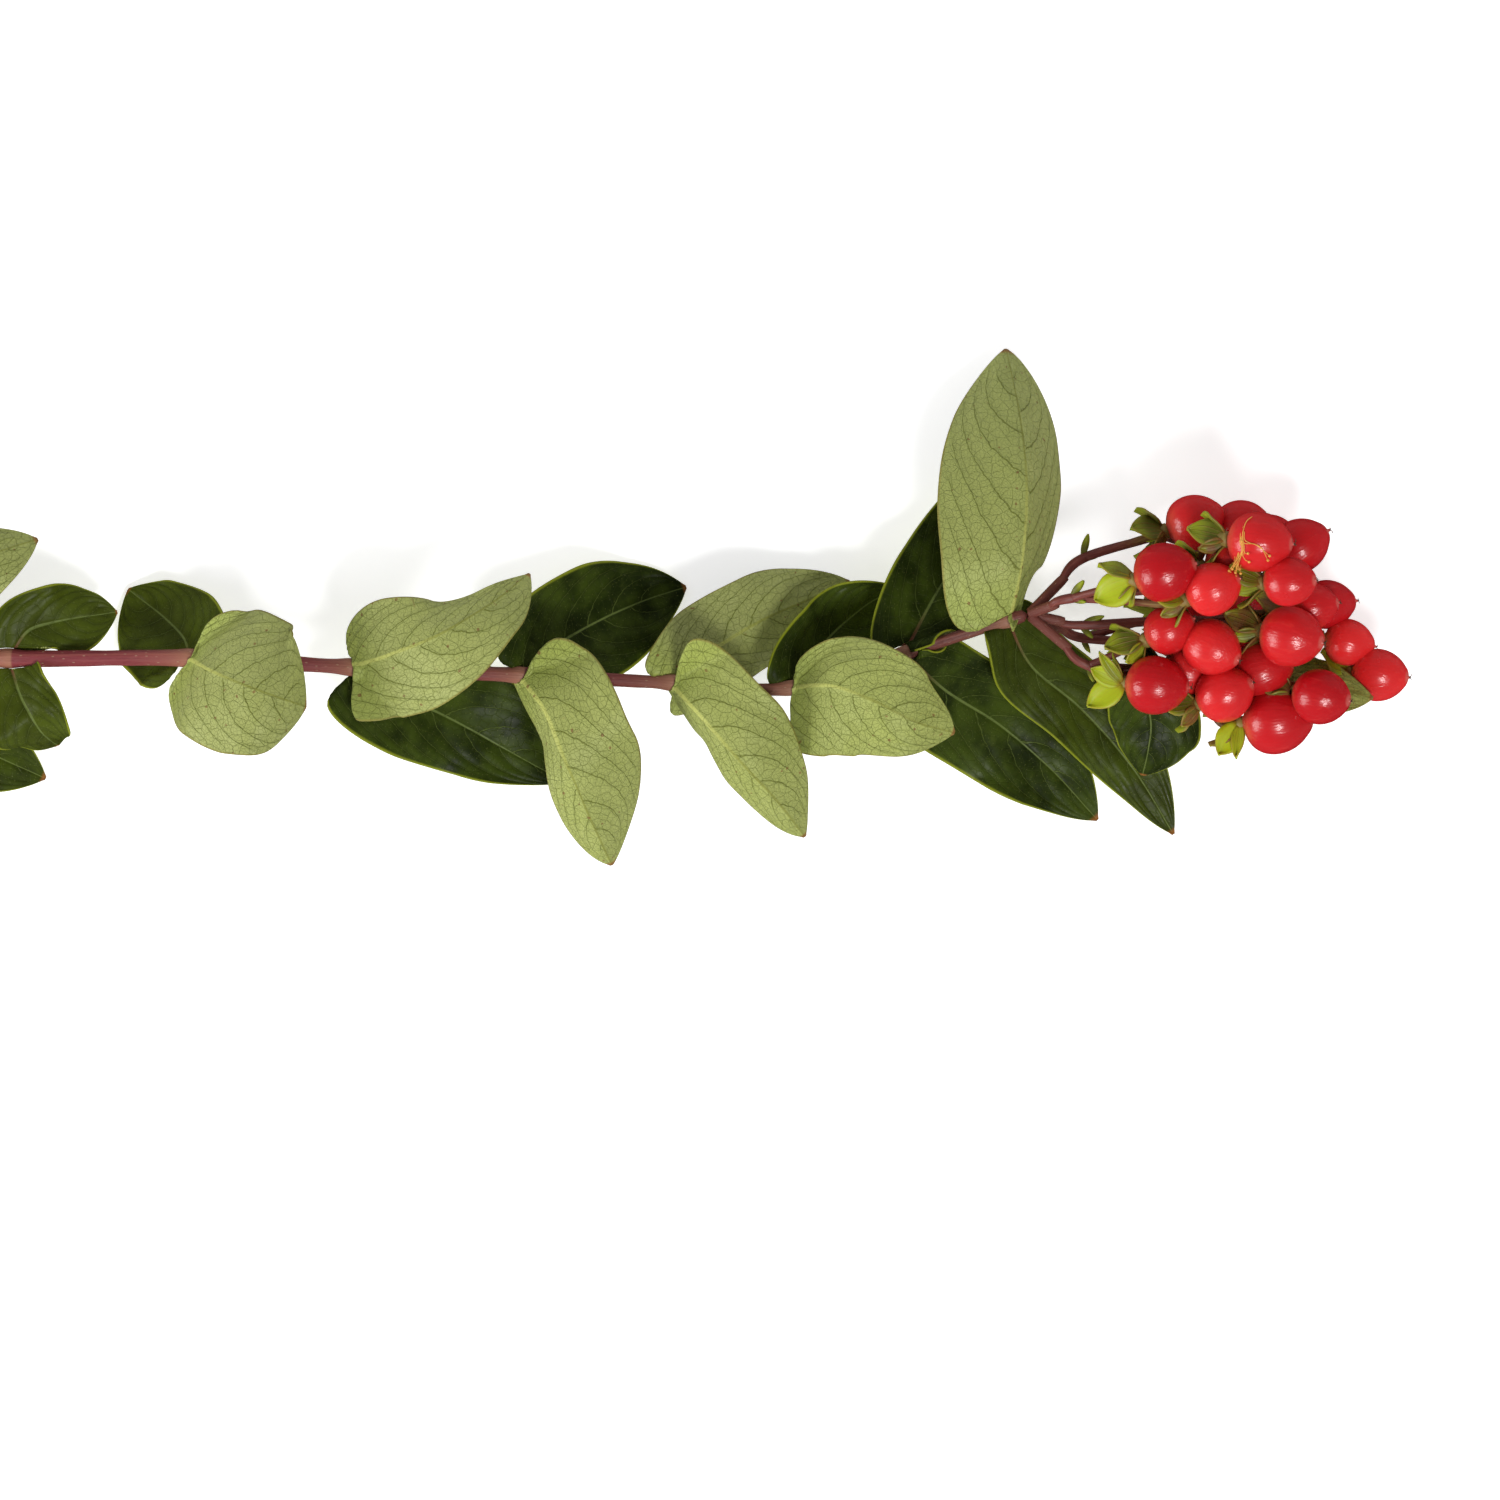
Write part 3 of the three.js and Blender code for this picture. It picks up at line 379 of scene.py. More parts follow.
def join(name, parts):
    """Several objects as one piece."""
    pick(*parts)
    bpy.ops.object.join()
    parts[0].name = parts[0].data.name = name
    return parts[0]


def put(piece, axes, origin):
    """Moves a mesh: its own X, Y and Z become the three axes, from the origin, in mm."""
    matrix = Matrix(np.transpose(axes)).to_4x4()
    matrix.translation = Vector((origin + PLACE) * MM)
    piece.data.transform(matrix)
    piece.data.update()


def copy_of(master, name):
    piece = master.copy()
    piece.data = master.data.copy()
    piece.name = piece.data.name = name
    bpy.context.scene.collection.objects.link(piece)
    return piece


def dress(piece, node):
    """The piece is shaded smooth and takes the place of a node."""
    piece.data.shade_smooth()
    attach(piece, "root")
    if node:
        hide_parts(node)
    print(piece.name, len(piece.data.polygons), "faces")


# %% [markdown]
# ## Helpers for materials
# Shader maths reads like ordinary sums here. A Wire is one value in a material, and adding or
# multiplying wires adds the Math nodes behind the scenes. A Finish is one material being made, and
# most of them are a ground colour under thin layers, each with a mask that says where it shows.

# %% Wires and finishes
class Wire:
    """A value in a node tree."""

    def __init__(self, nodes, socket):
        self.nodes, self.socket = nodes, socket

    def __add__(self, other): return self.nodes.math("ADD", self, other)
    def __radd__(self, other): return self.nodes.math("ADD", other, self)
    def __sub__(self, other): return self.nodes.math("SUBTRACT", self, other)
    def __rsub__(self, other): return self.nodes.math("SUBTRACT", other, self)
    def __mul__(self, other): return self.nodes.math("MULTIPLY", self, other)
    def __rmul__(self, other): return self.nodes.math("MULTIPLY", other, self)
    def __abs__(self): return self.nodes.math("ABSOLUTE", self)


def srgb(*screen):
    """Red, green and blue as seen on a screen, 0 to 255, as Blender's linear numbers."""
    linear = [((v / 255 + 0.055) / 1.055) ** 2.4 if v > 10 else v / 3295 for v in screen]
    return (*linear, 1)


class Nodes:
    """A node tree that is being filled."""

    def __init__(self, tree):
        self.tree = tree

    def node(self, kind, settings=None, sockets=None, output=0):
        made = self.tree.nodes.new(kind)
        for key, value in (settings or {}).items():
            setattr(made, key, value)
        for key, value in (sockets or {}).items():
            self.plug(value, made.inputs[key])
        return Wire(self, made.outputs[output])

    def plug(self, value, socket):
        if isinstance(value, Wire):
            self.tree.links.new(value.socket, socket)
        else:
            socket.default_value = value

    def math(self, operation, *values):
        return self.node("ShaderNodeMath", {"operation": operation}, dict(enumerate(values)))

    def mix(self, share, first, second):
        """first where share is 0 and second where it is 1."""
        settings = {"data_type": "RGBA", "clamp_factor": True}
        return self.node("ShaderNodeMix", settings, {0: share, 6: first, 7: second}, output=2)

    def layers(self, colour, *others):
        """Colours over one another: how much of each shows, then a wire or three numbers."""
        for share, *over in others:
            colour = self.mix(share, colour, over[0] if len(over) == 1 else srgb(*over))
        return colour

    def ramp(self, value, low, high):
        """0 where the value is below low, 1 above high, smooth between; low may be the larger."""
        settings = {"interpolation_type": "SMOOTHSTEP"}
        return self.node("ShaderNodeMapRange", settings, {0: value, 1: low, 2: high})

    def noted(self, name):
        """The three numbers of a vector that is stored on the points, and the vector."""
        vector = self.node("ShaderNodeAttribute", {"attribute_name": name}, output=1)
        split = self.node("ShaderNodeSeparateXYZ", sockets={0: vector}).socket.node.outputs
        return *(Wire(self, part) for part in split), vector

    def vector(self, x, y, z):
        return self.node("ShaderNodeCombineXYZ", sockets={0: x, 1: y, 2: z})

    def where(self):
        return self.node("ShaderNodeTexCoord", output=3)

    def noise(self, where, scale, detail=2.0, roughness=0.5):
        return self.node("ShaderNodeTexNoise", sockets={
            "Vector": where, "Scale": scale, "Detail": detail, "Roughness": roughness})

    def cells(self, where, scale, **settings):
        settings["voronoi_dimensions"] = "2D"
        return self.node("ShaderNodeTexVoronoi", settings, {"Vector": where, "Scale": scale})

    def cell_edge(self, where, scale):
        """How far a place is from the edge of its cell in a random net, in parts of a cell."""
        return self.cells(where, scale, feature="DISTANCE_TO_EDGE")

    def spot(self, where, scale):
        """How far a place is from the middle of its cell, and a number that is the cell's own."""
        found = self.cells(where, scale)
        colour = Wire(self, found.socket.node.outputs[1])
        return found, self.node("ShaderNodeSeparateXYZ", sockets={0: colour})


class Finish(Nodes):
    """One material. What is the same all over is set on the shader's own sockets."""

    def __init__(self, name, **constants):
        self.material = bpy.data.materials.new(name)
        self.material.use_nodes = True
        super().__init__(self.material.node_tree)
        self.shader = self.tree.nodes["Principled BSDF"].inputs
        for key, value in constants.items():
            self.shader[key.replace("_", " ")].default_value = value

    def done(self, colour, roughness=None, height=None, depth=0.0001):
        """Plugs what varies into the shader. height is 0 to 1, and depth its size in metres."""
        self.plug(colour, self.shader["Base Color"])
        if roughness is not None:
            self.plug(roughness, self.shader["Roughness"])
        if height is not None:
            bump = self.node("ShaderNodeBump", sockets={"Distance": depth, "Height": height})
            self.plug(bump, self.shader["Normal"])
        return self.material


print("a leaf's pale green is", [round(v, 3) for v in srgb(168, 178, 112)])

# %% [markdown]
# ## The finish of a leaf
# A hypericum leaf is dark, glossy and faintly veined above, and pale, dull and finely netted below.
# The pattern follows the blade, so it reads numbers stored on the points. span holds millimetres
# along the midrib, millimetres across from it, and the number of the side vein. blade holds the
# share of the way along, the share of the way to the margin, and the leaf's own tone.
# A side vein runs where its number is whole, and the finer net is a random cell pattern.

# %% Leaf veins
def leaf_veins(f):
    """The numbers and masks that both sides of a leaf share."""
    v = SimpleNamespace()
    v.x, v.y, vein, v.span = f.noted("span")
    v.along, v.edge, v.tone, _ = f.noted("blade")
    v.sway = f.noise(v.span, 0.13, 3.0)
    v.wobble = f.noise(v.span, 0.45) - 0.5
    v.rib = f.ramp(abs(v.y) + v.along * 0.28, 0.5, 0.26)
    v.off_vein = f.math("PINGPONG", vein + v.wobble * 0.22, 0.5)
    fade = f.ramp(v.edge, 0.96, 0.84) * f.ramp(v.along, 0.94, 0.86)
    v.side = f.ramp(v.off_vein, 0.03, 0.012) * fade
    v.bent = f.vector(v.x + v.wobble * 1.5, v.y + v.sway * 1.4, 0.0)
    v.coarse = f.ramp(f.cell_edge(v.bent, 0.5), 0.055, 0.018)
    v.tip = f.ramp(v.along, 0.975, 0.992)
    return v


def leaf_under():
    f = Finish("leaf underside", Specular_IOR_Level=0.35)
    v = leaf_veins(f)
    net = f.ramp(f.cell_edge(v.bent, 1.25), 0.09, 0.03)
    rib_tint = f.mix(f.ramp(v.along, 0.2, 0.6), srgb(186, 190, 100), srgb(132, 136, 58))
    distance, own = f.spot(v.bent, 0.3)
    fleck = f.ramp(distance + v.wobble * 0.3, 0.1, 0.05) * f.ramp(own, 0.8, 0.84)
    streaks = f.noise(f.vector(v.x * 1.6, v.y * 0.35, v.tone), 1.0, 3.0)
    colour = f.layers(
        f.mix(v.sway, srgb(144, 150, 86), srgb(166, 170, 106)),
        (v.tone * 0.9, 158, 168, 80),
        (f.ramp(v.along, 0.22, 0.0) * 0.6, 158, 172, 76),  # a yellower base
        (f.ramp(v.off_vein, 0.3, 0.05) * 0.16, 128, 140, 66),  # shade beside each side vein
        (net * 0.3, 112, 122, 54),
        (v.coarse * 0.45, 112, 120, 48),
        (v.side * 0.85, 110, 116, 38),
        (v.rib * 0.85, rib_tint),
        (fleck * 0.7, 118, 76, 40),
        (f.ramp(streaks, 0.7, 0.77) * 0.45, 132, 104, 58),  # a few scuffs
        (f.ramp(v.edge, 0.965, 0.99) * 0.7, 134, 122, 50),
        (v.tip * 0.8, 142, 88, 40))
    relief = v.coarse * 0.5 + net * 0.35 + v.side * 0.8 + v.sway * 0.4
    return f.done(colour, v.sway * 0.16 + 0.46, relief, depth=0.00016)


def leaf_upper():
    f = Finish("leaf upper side", Specular_IOR_Level=0.1)
    v = leaf_veins(f)
    rib_tint = f.mix(f.ramp(v.along, 0.02, 0.25), srgb(118, 62, 54), srgb(108, 122, 64))
    # patches of sheen, painted paler into the colour, where the leaf is also a little glossier
    sheen_patches = f.ramp(f.noise(v.span, 0.5, 6.0, 0.7), 0.5, 0.72)
    distance, own = f.spot(v.span, 1.1)
    dot = f.ramp(distance, 0.14, 0.08) * f.ramp(own, 0.55, 0.65)
    colour = f.layers(
        f.mix(f.ramp(v.sway, 0.3, 0.7), srgb(28, 38, 8), srgb(60, 74, 18)),
        (f.ramp(v.tone, 0.35, 0.9) * 0.75, 88, 98, 22),
        (f.ramp(v.off_vein, 0.35, 0.0) * 0.25, 26, 34, 6),  # shade beside each side vein
        (v.coarse * 0.12, 78, 88, 30),
        (v.side * 0.5, 96, 110, 50),
        (v.rib * 0.75, rib_tint),
        # painted sheen: paler grey-green patches
        (sheen_patches * 0.12, 96, 104, 48),
        (dot * 0.3, 120, 126, 70),  # the pale oil glands
        (f.ramp(v.edge, 0.935, 0.985), 130, 138, 34),
        (v.tip * 0.8, 142, 88, 40))
    relief = v.sway * 0.6 - v.side * 0.6 - v.coarse * 0.3
    gloss = f.noise(v.span, 0.22)
    return f.done(colour, gloss * 0.35 + 0.22 - sheen_patches * 0.06, relief, depth=0.00018)


LEAF_UNDER, LEAF_UPPER = leaf_under(), leaf_upper()
print(LEAF_UNDER.name, "and", LEAF_UPPER.name)

# %% [markdown]
# ## Leaves
# A real blade is a thin sheet that folds along its midrib, curls to its margin and puffs up
# between its veins. A grid is laid on that sheet, the veins are pressed into it as real relief, and
# the Solidify modifier gives it its thickness and a second side with its own finish. The leaves of
# a pair clasp the stem, and their lobes are bent until they clear one another.

# %% The sheet of a leaf
VEINS_PER_BLADE = 6.5
RIB_ROUND = 1.6  # over how many millimetres the two halves turn into one another
RIB_HEIGHT, VEIN_HEIGHT, PUFF_DEPTH = 0.4, 0.05, 0.09
BULGES = ((0, 0.16, 9, 5), (2, 0.1, 19, 9))  # a first phase, a height, and how fast it waves
PATTERN_STEP = 37.0  # millimetres from one leaf's pattern to the next one's
LOWEST_LEAF = 0.3
# Near the stem the lobes bend in full up to the first number, and no more from the second.
CLASP_ALONG, CLASP_ACROSS, CLASP_DEPTH, STEM_ROOM = (9, 19), (9, 12), (12, 16), 0.3


def blade_width(along, widest, base, taper):
    """Half the width of a blade, as a share of the most that it has."""
    rise = base + (1 - base) * np.sin(np.pi / 2 * np.clip(along / widest, 0, 1) ** 0.5)
    fall = np.clip((along - widest) / (1 - widest), 0, 1)
    return np.where(along < widest, rise, np.cos(np.pi / 2 * fall**taper).clip(0) ** 0.8)


def vein_number(along, across):
    """Whole along each side vein, which leaves the midrib forwards and sweeps round to the tip."""
    off = np.abs(across)
    forward = 0.14 * off + 0.42 * off**2.2
    return VEINS_PER_BLADE * (along - forward) + np.where(across < 0, 0.4, 0)


def sided(value, across):
    """A number of both halves of a leaf, or of its left and right one."""
    left, right = value if isinstance(value, list) else (value, value)
    return np.where(across < 0, right, left)


def twin_plane(leaf):
    """Where the lobes of a leaf meet its twin's: a point, the stem's heading and the way off it."""
    node = leaf.node
    root = STEM_LINE[node]
    twins = [other for other in LEAVES.values() if other.node == node]
    ways = [unit(np.array(twin.rib[0]) - root) for twin in twins]
    away = ways[0] - ways[1] if twins[0] is leaf else ways[1] - ways[0]
    heading = stem_rail.heading(np.array(node_shares[node - 1]))
    return root, heading, unit(away - heading * (away @ heading))


def clasp_stem(points, leaf):
    """Lifts or lowers the lobes until they clear the twin leaf, and lays them round the stem."""
    root, heading, away = twin_plane(leaf)
    off = points - root
    across = np.abs(off @ np.cross(heading, away))
    short = GAP / 2 - off @ away
    short = (short + np.sqrt(short**2 + 1)) / 2  # eases in, so that no crease shows
    near = (1 - ease(*CLASP_ALONG, np.abs(off @ heading))) * (1 - ease(*CLASP_DEPTH, short))
    shift = UP / away[2] if abs(away[2]) > 0.5 else away
    lift = short * near * (1 - ease(*CLASP_ACROSS, across))
    points = points + shift * lift[:, None]
    room = stem_radius(node_shares[leaf.node - 1]) + STEM_ROOM
    wrap = np.sqrt(np.maximum(room**2 - across**2, 0)) - (points - root) @ away
    return points + away * (np.maximum(wrap, 0) * near)[:, None]


def leaf_sheet(leaf, seed):
    root = np.array(leaf.root, float)
    root += 0.8 * STEM_TIP_RADIUS * unit(np.array(leaf.rib[0]) - root)
    rib = Rail([root, *leaf.rib])
    ahead = unit((np.array(leaf.rib[-1]) - root) * [1, 1, 0])
    left = np.cross(UP, ahead)
    fold, curl = math.radians(leaf.fold), math.radians(leaf.curl)
    wave_height, wave_count, wave_phase = leaf.wave
    phases = np.random.default_rng(seed).uniform(0, 2 * np.pi, 4)

    def place(along, across):
        along = 0.35 * along**2 + 0.65 * along  # more rows where the base turns round
        pairs = leaf.half, leaf.widest, leaf.base, leaf.taper, leaf.lobe
        half, widest, base, taper, lobe = [sided(pair, across) for pair in pairs]
        heading = rib.heading(along)
        side = unit(left - heading * (heading @ left)[:, None])
        above = np.cross(heading, side)
        roll = np.radians(leaf.roll[0] + (leaf.roll[1] - leaf.roll[0]) * along)[:, None]
        out = side * np.cos(roll) + above * np.sin(roll)
        up = above * np.cos(roll) - side * np.sin(roll)
        sign = np.sign(across)
        reach = np.abs(across) * np.maximum(half * blade_width(along, widest, base, taper),
                                            LEAF_TIP_WIDTH)

        # the halves fold up or down from the rib, curl to the margin and wave along it
        bend = curl / half
        slope = fold + bend * reach
        sideways = (np.sin(slope) - math.sin(fold)) / bend
        soft = fold + bend * (reach - RIB_ROUND * (1 - np.exp(-reach / RIB_ROUND)))
        rise = (math.cos(fold) - np.cos(soft)) / bend
        phase = wave_phase + np.where(across < 0, 0.37, 0)
        calm = np.minimum(1, np.minimum(4 * along, 4 * (1 - along)))
        swing = np.sin(2 * np.pi * (wave_count * along + phase))
        swing += 0.12 * np.sin(2 * np.pi * (2.7 * wave_count * along + 2 * phase))
        wave = wave_height * calm * across**2 * swing
        lobe = lobe * np.sin(np.pi / 2 * np.abs(across) ** 1.25)
        lobe *= np.maximum(0, 1 - along / widest) ** 2

        # the rib and the side veins stand out below, and the fields between them puff up above
        number = vein_number(along, across)
        off_vein = np.abs(number - np.round(number))
        inner = (1 - ease(0.8, 0.97, np.abs(across))) * (1 - ease(0.88, 0.98, along))
        ridge = RIB_HEIGHT * (1 - 0.75 * along) * np.exp(-((reach / (0.62 - 0.3 * along)) ** 2))
        ridge += VEIN_HEIGHT * inner * np.exp(-((off_vein / 0.06) ** 2))
        puff = -PUFF_DEPTH * inner * ease(0, 0.5, off_vein) * ease(0, 0.3, np.abs(across))
        bulge = sum(
            size * np.sin(long * along + phases[n]) * np.sin(wide * across + phases[n + 1])
            for n, size, long, wide in BULGES)
        relief = (1 if leaf.pale_up else -1) * (ridge + puff) + bulge * inner

        points = rib.at(along) + out * (sign * sideways)[:, None]
        points += up * (rise + wave)[:, None] - heading * lobe[:, None]
        normal = up * np.cos(slope)[:, None] - out * (sign * np.sin(slope))[:, None]
        points += normal * relief[:, None]
        if leaf.node is not None:
            points = clasp_stem(points, leaf)
        points[:, 2] = np.maximum(points[:, 2], LOWEST_LEAF)
        return points, {
            "span": in_rows(rib.length * along + PATTERN_STEP * seed, sign * reach, number),
            "blade": in_rows(along, np.abs(across), leaf.tone),
        }

    return place


# %% Make the leaves
BLADE_ROWS, BLADE_COLUMNS, BLADE_THICKNESS = 104, 64, 0.0004

for seed, (name, numbers) in enumerate(LEAVES.items()):
    sides = (LEAF_UNDER, LEAF_UPPER) if numbers.pale_up else (LEAF_UPPER, LEAF_UNDER)
    blade = lay_grid("blade_" + name, BLADE_ROWS, BLADE_COLUMNS, leaf_sheet(numbers, seed), sides)
    thicken(blade, BLADE_THICKNESS, second_side=1)
    dress(blade, "leaf_" + name)

# %% [markdown]
# ## The stem
# The bark is maroon, streaked lengthwise, and paler on the swollen ring at each pair of leaves. The
# stem is a tube with rings set close at those nodes, so that the swelling comes from the shape.
# The butt is cut on a slant, with pale wood inside.

# %% Bark and cut wood
def bark():
    f = Finish("stem bark", Specular_IOR_Level=0.45)
    x, around, pale, _ = f.noted("span")
    ridge, *_ = f.noted("blade")
    streaks = f.noise(f.vector(x * 0.07, around * 1.7, 0.0), 1.0, 4.0, 0.6)
    grain = f.noise(f.vector(x * 0.8, around * 3.0, 5.0), 1.0, 3.0)
    crimson = f.mix(streaks, srgb(98, 30, 37), srgb(148, 62, 68))
    brown = f.mix(streaks, srgb(84, 36, 32), srgb(128, 66, 55))
    distance, own = f.spot(f.vector(x * 0.5, around, 0.0), 0.9)
    speck = f.ramp(distance, 0.16, 0.08) * f.ramp(own, 0.75, 0.85)
    colour = f.layers(
        crimson,
        (f.ramp(x, 180, 290), brown),  # browner towards the berries
        (f.ramp(grain, 0.5, 0.75) * 0.3, 146, 86, 70),
        # the two raised lines are paler: partly their own colour, partly a painted highlight along
        # them
        (ridge * 0.35, 164, 100, 84),
        (pale * 0.55 + streaks * 0.15 - 0.08, 176, 130, 98),
        (speck * 0.45, 196, 160, 130))
    return f.done(colour, streaks * 0.2 + 0.36, streaks + grain * 0.4 + speck * 0.4, depth=0.0002)


def cut_wood():
    f = Finish("cut wood", Roughness=0.7)
    fibres = f.noise(f.where(), 1800.0, 3.0)
    return f.done(f.mix(fibres, srgb(186, 178, 128), srgb(222, 214, 172)), height=fibres)


BARK, CUT_WOOD = bark(), cut_wood()
print(BARK.name, "and", CUT_WOOD.name)


# %% Trunk and branches
TRUNK_ROWS, TRUNK_COLUMNS = 300, 28
CROWDING = 3.5  # how many more rings stand at a node than between two
END_CAP = -0.97  # faces that look along the stem more squarely than this close its cut


def paling(share):
    """How near below a node a place is: 1 at the node, and almost 0 a finger's width before it."""
    before = [(at - share) * stem_rail.length for at in node_shares]
    return np.max([np.where(b > -1, np.exp(-np.maximum(b, 0) / 5), 0) for b in before], axis=0)


def stem_ridges(share, across):
    """Two fine raised lines along the stem, turned by a quarter from each node to the next."""
    quarter = np.searchsorted(node_shares, share) % 2 / 4
    return np.exp(-((np.sin(np.pi * (across + quarter + 0.12)) / 0.12) ** 2))


def trunk_radius(share, across):
    wander = 0.04 * np.sin(90 * share) + 0.03 * np.sin(230 * share + 1)
    flutes = 0.02 * np.cos(6 * np.pi * across + 40 * share)
    return stem_radius(share) + 0.08 * stem_ridges(share, across) + flutes + wander


def trunk_notes(share, across):
    return {"span": in_rows(share * stem_rail.length, np.pi * across * 2, paling(share)),
            "blade": in_rows(stem_ridges(share, across), share, share)}


spacing = np.linspace(0, 1, 4000)
density = 1 + CROWDING * swelling(spacing)
walk = np.concatenate([[0], np.cumsum((density[1:] + density[:-1]) / 2)])
rows_at = np.interp(np.linspace(0, 1, 400), walk / walk[-1], spacing)
trunk = lay_tube("trunk", stem_rail, trunk_radius, TRUNK_ROWS, TRUNK_COLUMNS, [BARK, CUT_WOOD],
                 trunk_notes, stretch=rows_at)

cut_at = (STEM_LINE[0] + PLACE + [2 * STEM_BUTT_RADIUS, 0, 0]) * MM
slant = Vector((math.cos(CUT_SLANT), math.sin(CUT_SLANT), 0))
edit(trunk, lambda: bpy.ops.mesh.bisect(
    plane_co=cut_at, plane_no=slant, use_fill=True, clear_inner=True, clear_outer=False))
cut_faces = [face for face in trunk.data.polygons
             if face.normal.dot(slant) < END_CAP and len(face.vertices) > 8]
for face in cut_faces:
    face.material_index = 1
print(len(cut_faces), "cut face")


def branch_ends(spray):
    start = stem_rail.at(np.array(1.0))
    return start, start + BRANCH_SHARE * (np.array(spray["forks"][0]) - start)


def wood_radius(share, across):
    return BRANCH_RADIUS * (1.15 - 0.15 * ease(0.8, 1, share))


def wood_notes(share, across):
    return {"span": in_rows(share * 12 + 500, np.pi * across * 2, 0.15 * share),
            "blade": in_rows(0.2, share, share)}


woods = []
for name, spray in SPRAYS.items():
    start, end = branch_ends(spray)
    rail = Rail([start, (start + end) / 2, end])
    woods.append(lay_tube("wood_" + name, rail, wood_radius, 24, 16, [BARK], wood_notes))
dress(join("stem_bark", [trunk, *woods]), "stem")

# %% [markdown]
# ## Where the berries sit
# Each berry leans on an earlier one of its spray. Its axis points away from its fork and is turned
# until its foot faces no neighbour, and its stalk bends round the berries that are in its way.

# %% Place the berries
NEIGHBOUR = 1.3 * BERRY_CONTACT  # berries within this distance turn their feet from one another
TURNS = 60


def place_berries(spray, first):
    placed = []
    for i, entry in enumerate(spray["berries"]):
        size = entry["size"]
        centre = np.array([*entry["at"], entry.get("z", 0)], float)
        if "on" in entry:
            other = placed[entry["on"]]
            centre[2] = other.centre[2]
            contact = BERRY_CONTACT * (size + other.size) / 2
            away = centre - other.centre
            away *= min(1, contact / np.linalg.norm(away))
            away[2] = entry["side"] * math.sqrt(max(0, contact**2 - away @ away))
            centre = other.centre + away
        root = np.array(spray["forks"][entry["fork"]], float)
        axis = unit((centre - entry.get("away_from", root)) * [1, 1, BERRY_NOD])
        placed.append(SimpleNamespace(
            root=root, turn=((first + i) * GOLDEN) % 1, size=size, centre=centre, axis=axis,
            lime=entry.get("lime", [])))
    return placed


def off_axis(berry, spin):
    """The way off a berry's axis at a turn round it."""
    return berry.side * math.cos(spin) + berry.across * math.sin(spin)


berries_of, first = {}, 0
for name, spray in SPRAYS.items():
    berries_of[name] = place_berries(spray, first)
    first += len(spray["berries"])
all_berries = [berry for berries in berries_of.values() for berry in berries]
for berry in all_berries:
    for _ in range(TURNS):
        for other in all_berries:
            to_other = other.centre - berry.centre
            if other is berry or np.linalg.norm(to_other) > NEIGHBOUR:
                continue
            to_other = unit(to_other)
            facing = -berry.axis @ to_other
            if facing > BERRY_SHY:
                berry.axis = unit(berry.axis + to_other * (facing - BERRY_SHY))
    rise = min(berry.axis[2], STEEPEST)
    berry.axis = unit(berry.axis * [1, 1, 0]) * math.sqrt(1 - rise**2) + UP * rise
    berry.side = unit(np.cross(UP, berry.axis))
    berry.across = np.cross(berry.axis, berry.side)
print("highest berry at", round(max(b.centre[2] for b in all_berries), 1), "mm")

# %% [markdown]
# ## Berries
# A ripe berry is a taut, glossy egg, a little pointed, with three faint furrows. At its tip it
# keeps a dark, dry nib where the styles were. One berry is shaped from the sphere primitive, its
# nib is extruded from the pole, and the others are copies, turned and sized on their own.

# %% Berry skin
def berry_skin():
    f = Finish("berry skin", Specular_IOR_Level=0.5, Coat_Roughness=0.45, Coat_Weight=0.15,
               Subsurface_Weight=0.08, Subsurface_Scale=0.002, Subsurface_Radius=(1.0, 0.2, 0.1))
    x, y, height, skin = f.noted("span")
    own, *_ = f.noted("blade")
    mottle = f.noise(skin, 1.6, 3.0)
    streaks = f.noise(f.vector(x * 5.0, y * 5.0, height * 0.9 + own * 7.0), 1.0, 3.0, 0.6)
    blush = f.ramp(height + mottle * 0.6, -0.15, -0.8)
    colour = f.layers(
        f.mix(own, srgb(176, 12, 22), srgb(228, 42, 42)),
        (mottle * 0.4, 184, 12, 22),
        (f.ramp(streaks, 0.55, 0.75) * 0.22, 226, 66, 56),
        (blush * 0.5, 222, 104, 84),  # paler towards the foot
        (f.ramp(height, 0.95, 0.99) * 0.45, 206, 120, 108))  # a dull ring round the nib
    return f.done(colour, mottle * 0.1 + 0.2, streaks * 1.2 + mottle * 0.5, depth=0.00016)


def dry_brown():
    f = Finish("dried style", Roughness=0.75)
    grain = f.noise(f.where(), 2200.0, 3.0)
    return f.done(f.mix(grain, srgb(48, 28, 20), srgb(104, 66, 40)), height=grain)


BERRY_SKIN, DRY_BROWN = berry_skin(), dry_brown()
print(BERRY_SKIN.name, "and", DRY_BROWN.name)

# %% Shape one berry
NIB_STEPS = ((0.012, 0.7), (0.054, 0.8), (0.042, 0.5))  # how far each goes, and how it narrows
POLE = 0.996  # the faces above this height of a sphere of radius 1 are those round its pole

bpy.ops.mesh.primitive_uv_sphere_add(segments=48, ring_count=32, radius=1)
berry_master = bpy.context.object
berry_master.name = "berry_master"
berry_master.data.materials.append(BERRY_SKIN)
berry_master.data.materials.append(DRY_BROWN)


def grow_nib():
    bpy.ops.mesh.select_all(action="DESELECT")
    bpy.ops.object.mode_set(mode="OBJECT")
    for face in berry_master.data.polygons:
        face.select = face.center.z > POLE
    bpy.ops.object.mode_set(mode="EDIT")
    for length, narrowing in NIB_STEPS:
        bpy.ops.mesh.extrude_region_move(TRANSFORM_OT_translate={"value": (0, 0, length)})
        bpy.ops.transform.resize(value=(narrowing, narrowing, 0.6))
    berry_master.active_material_index = 1
    bpy.ops.mesh.select_more()
    bpy.ops.object.material_slot_assign()


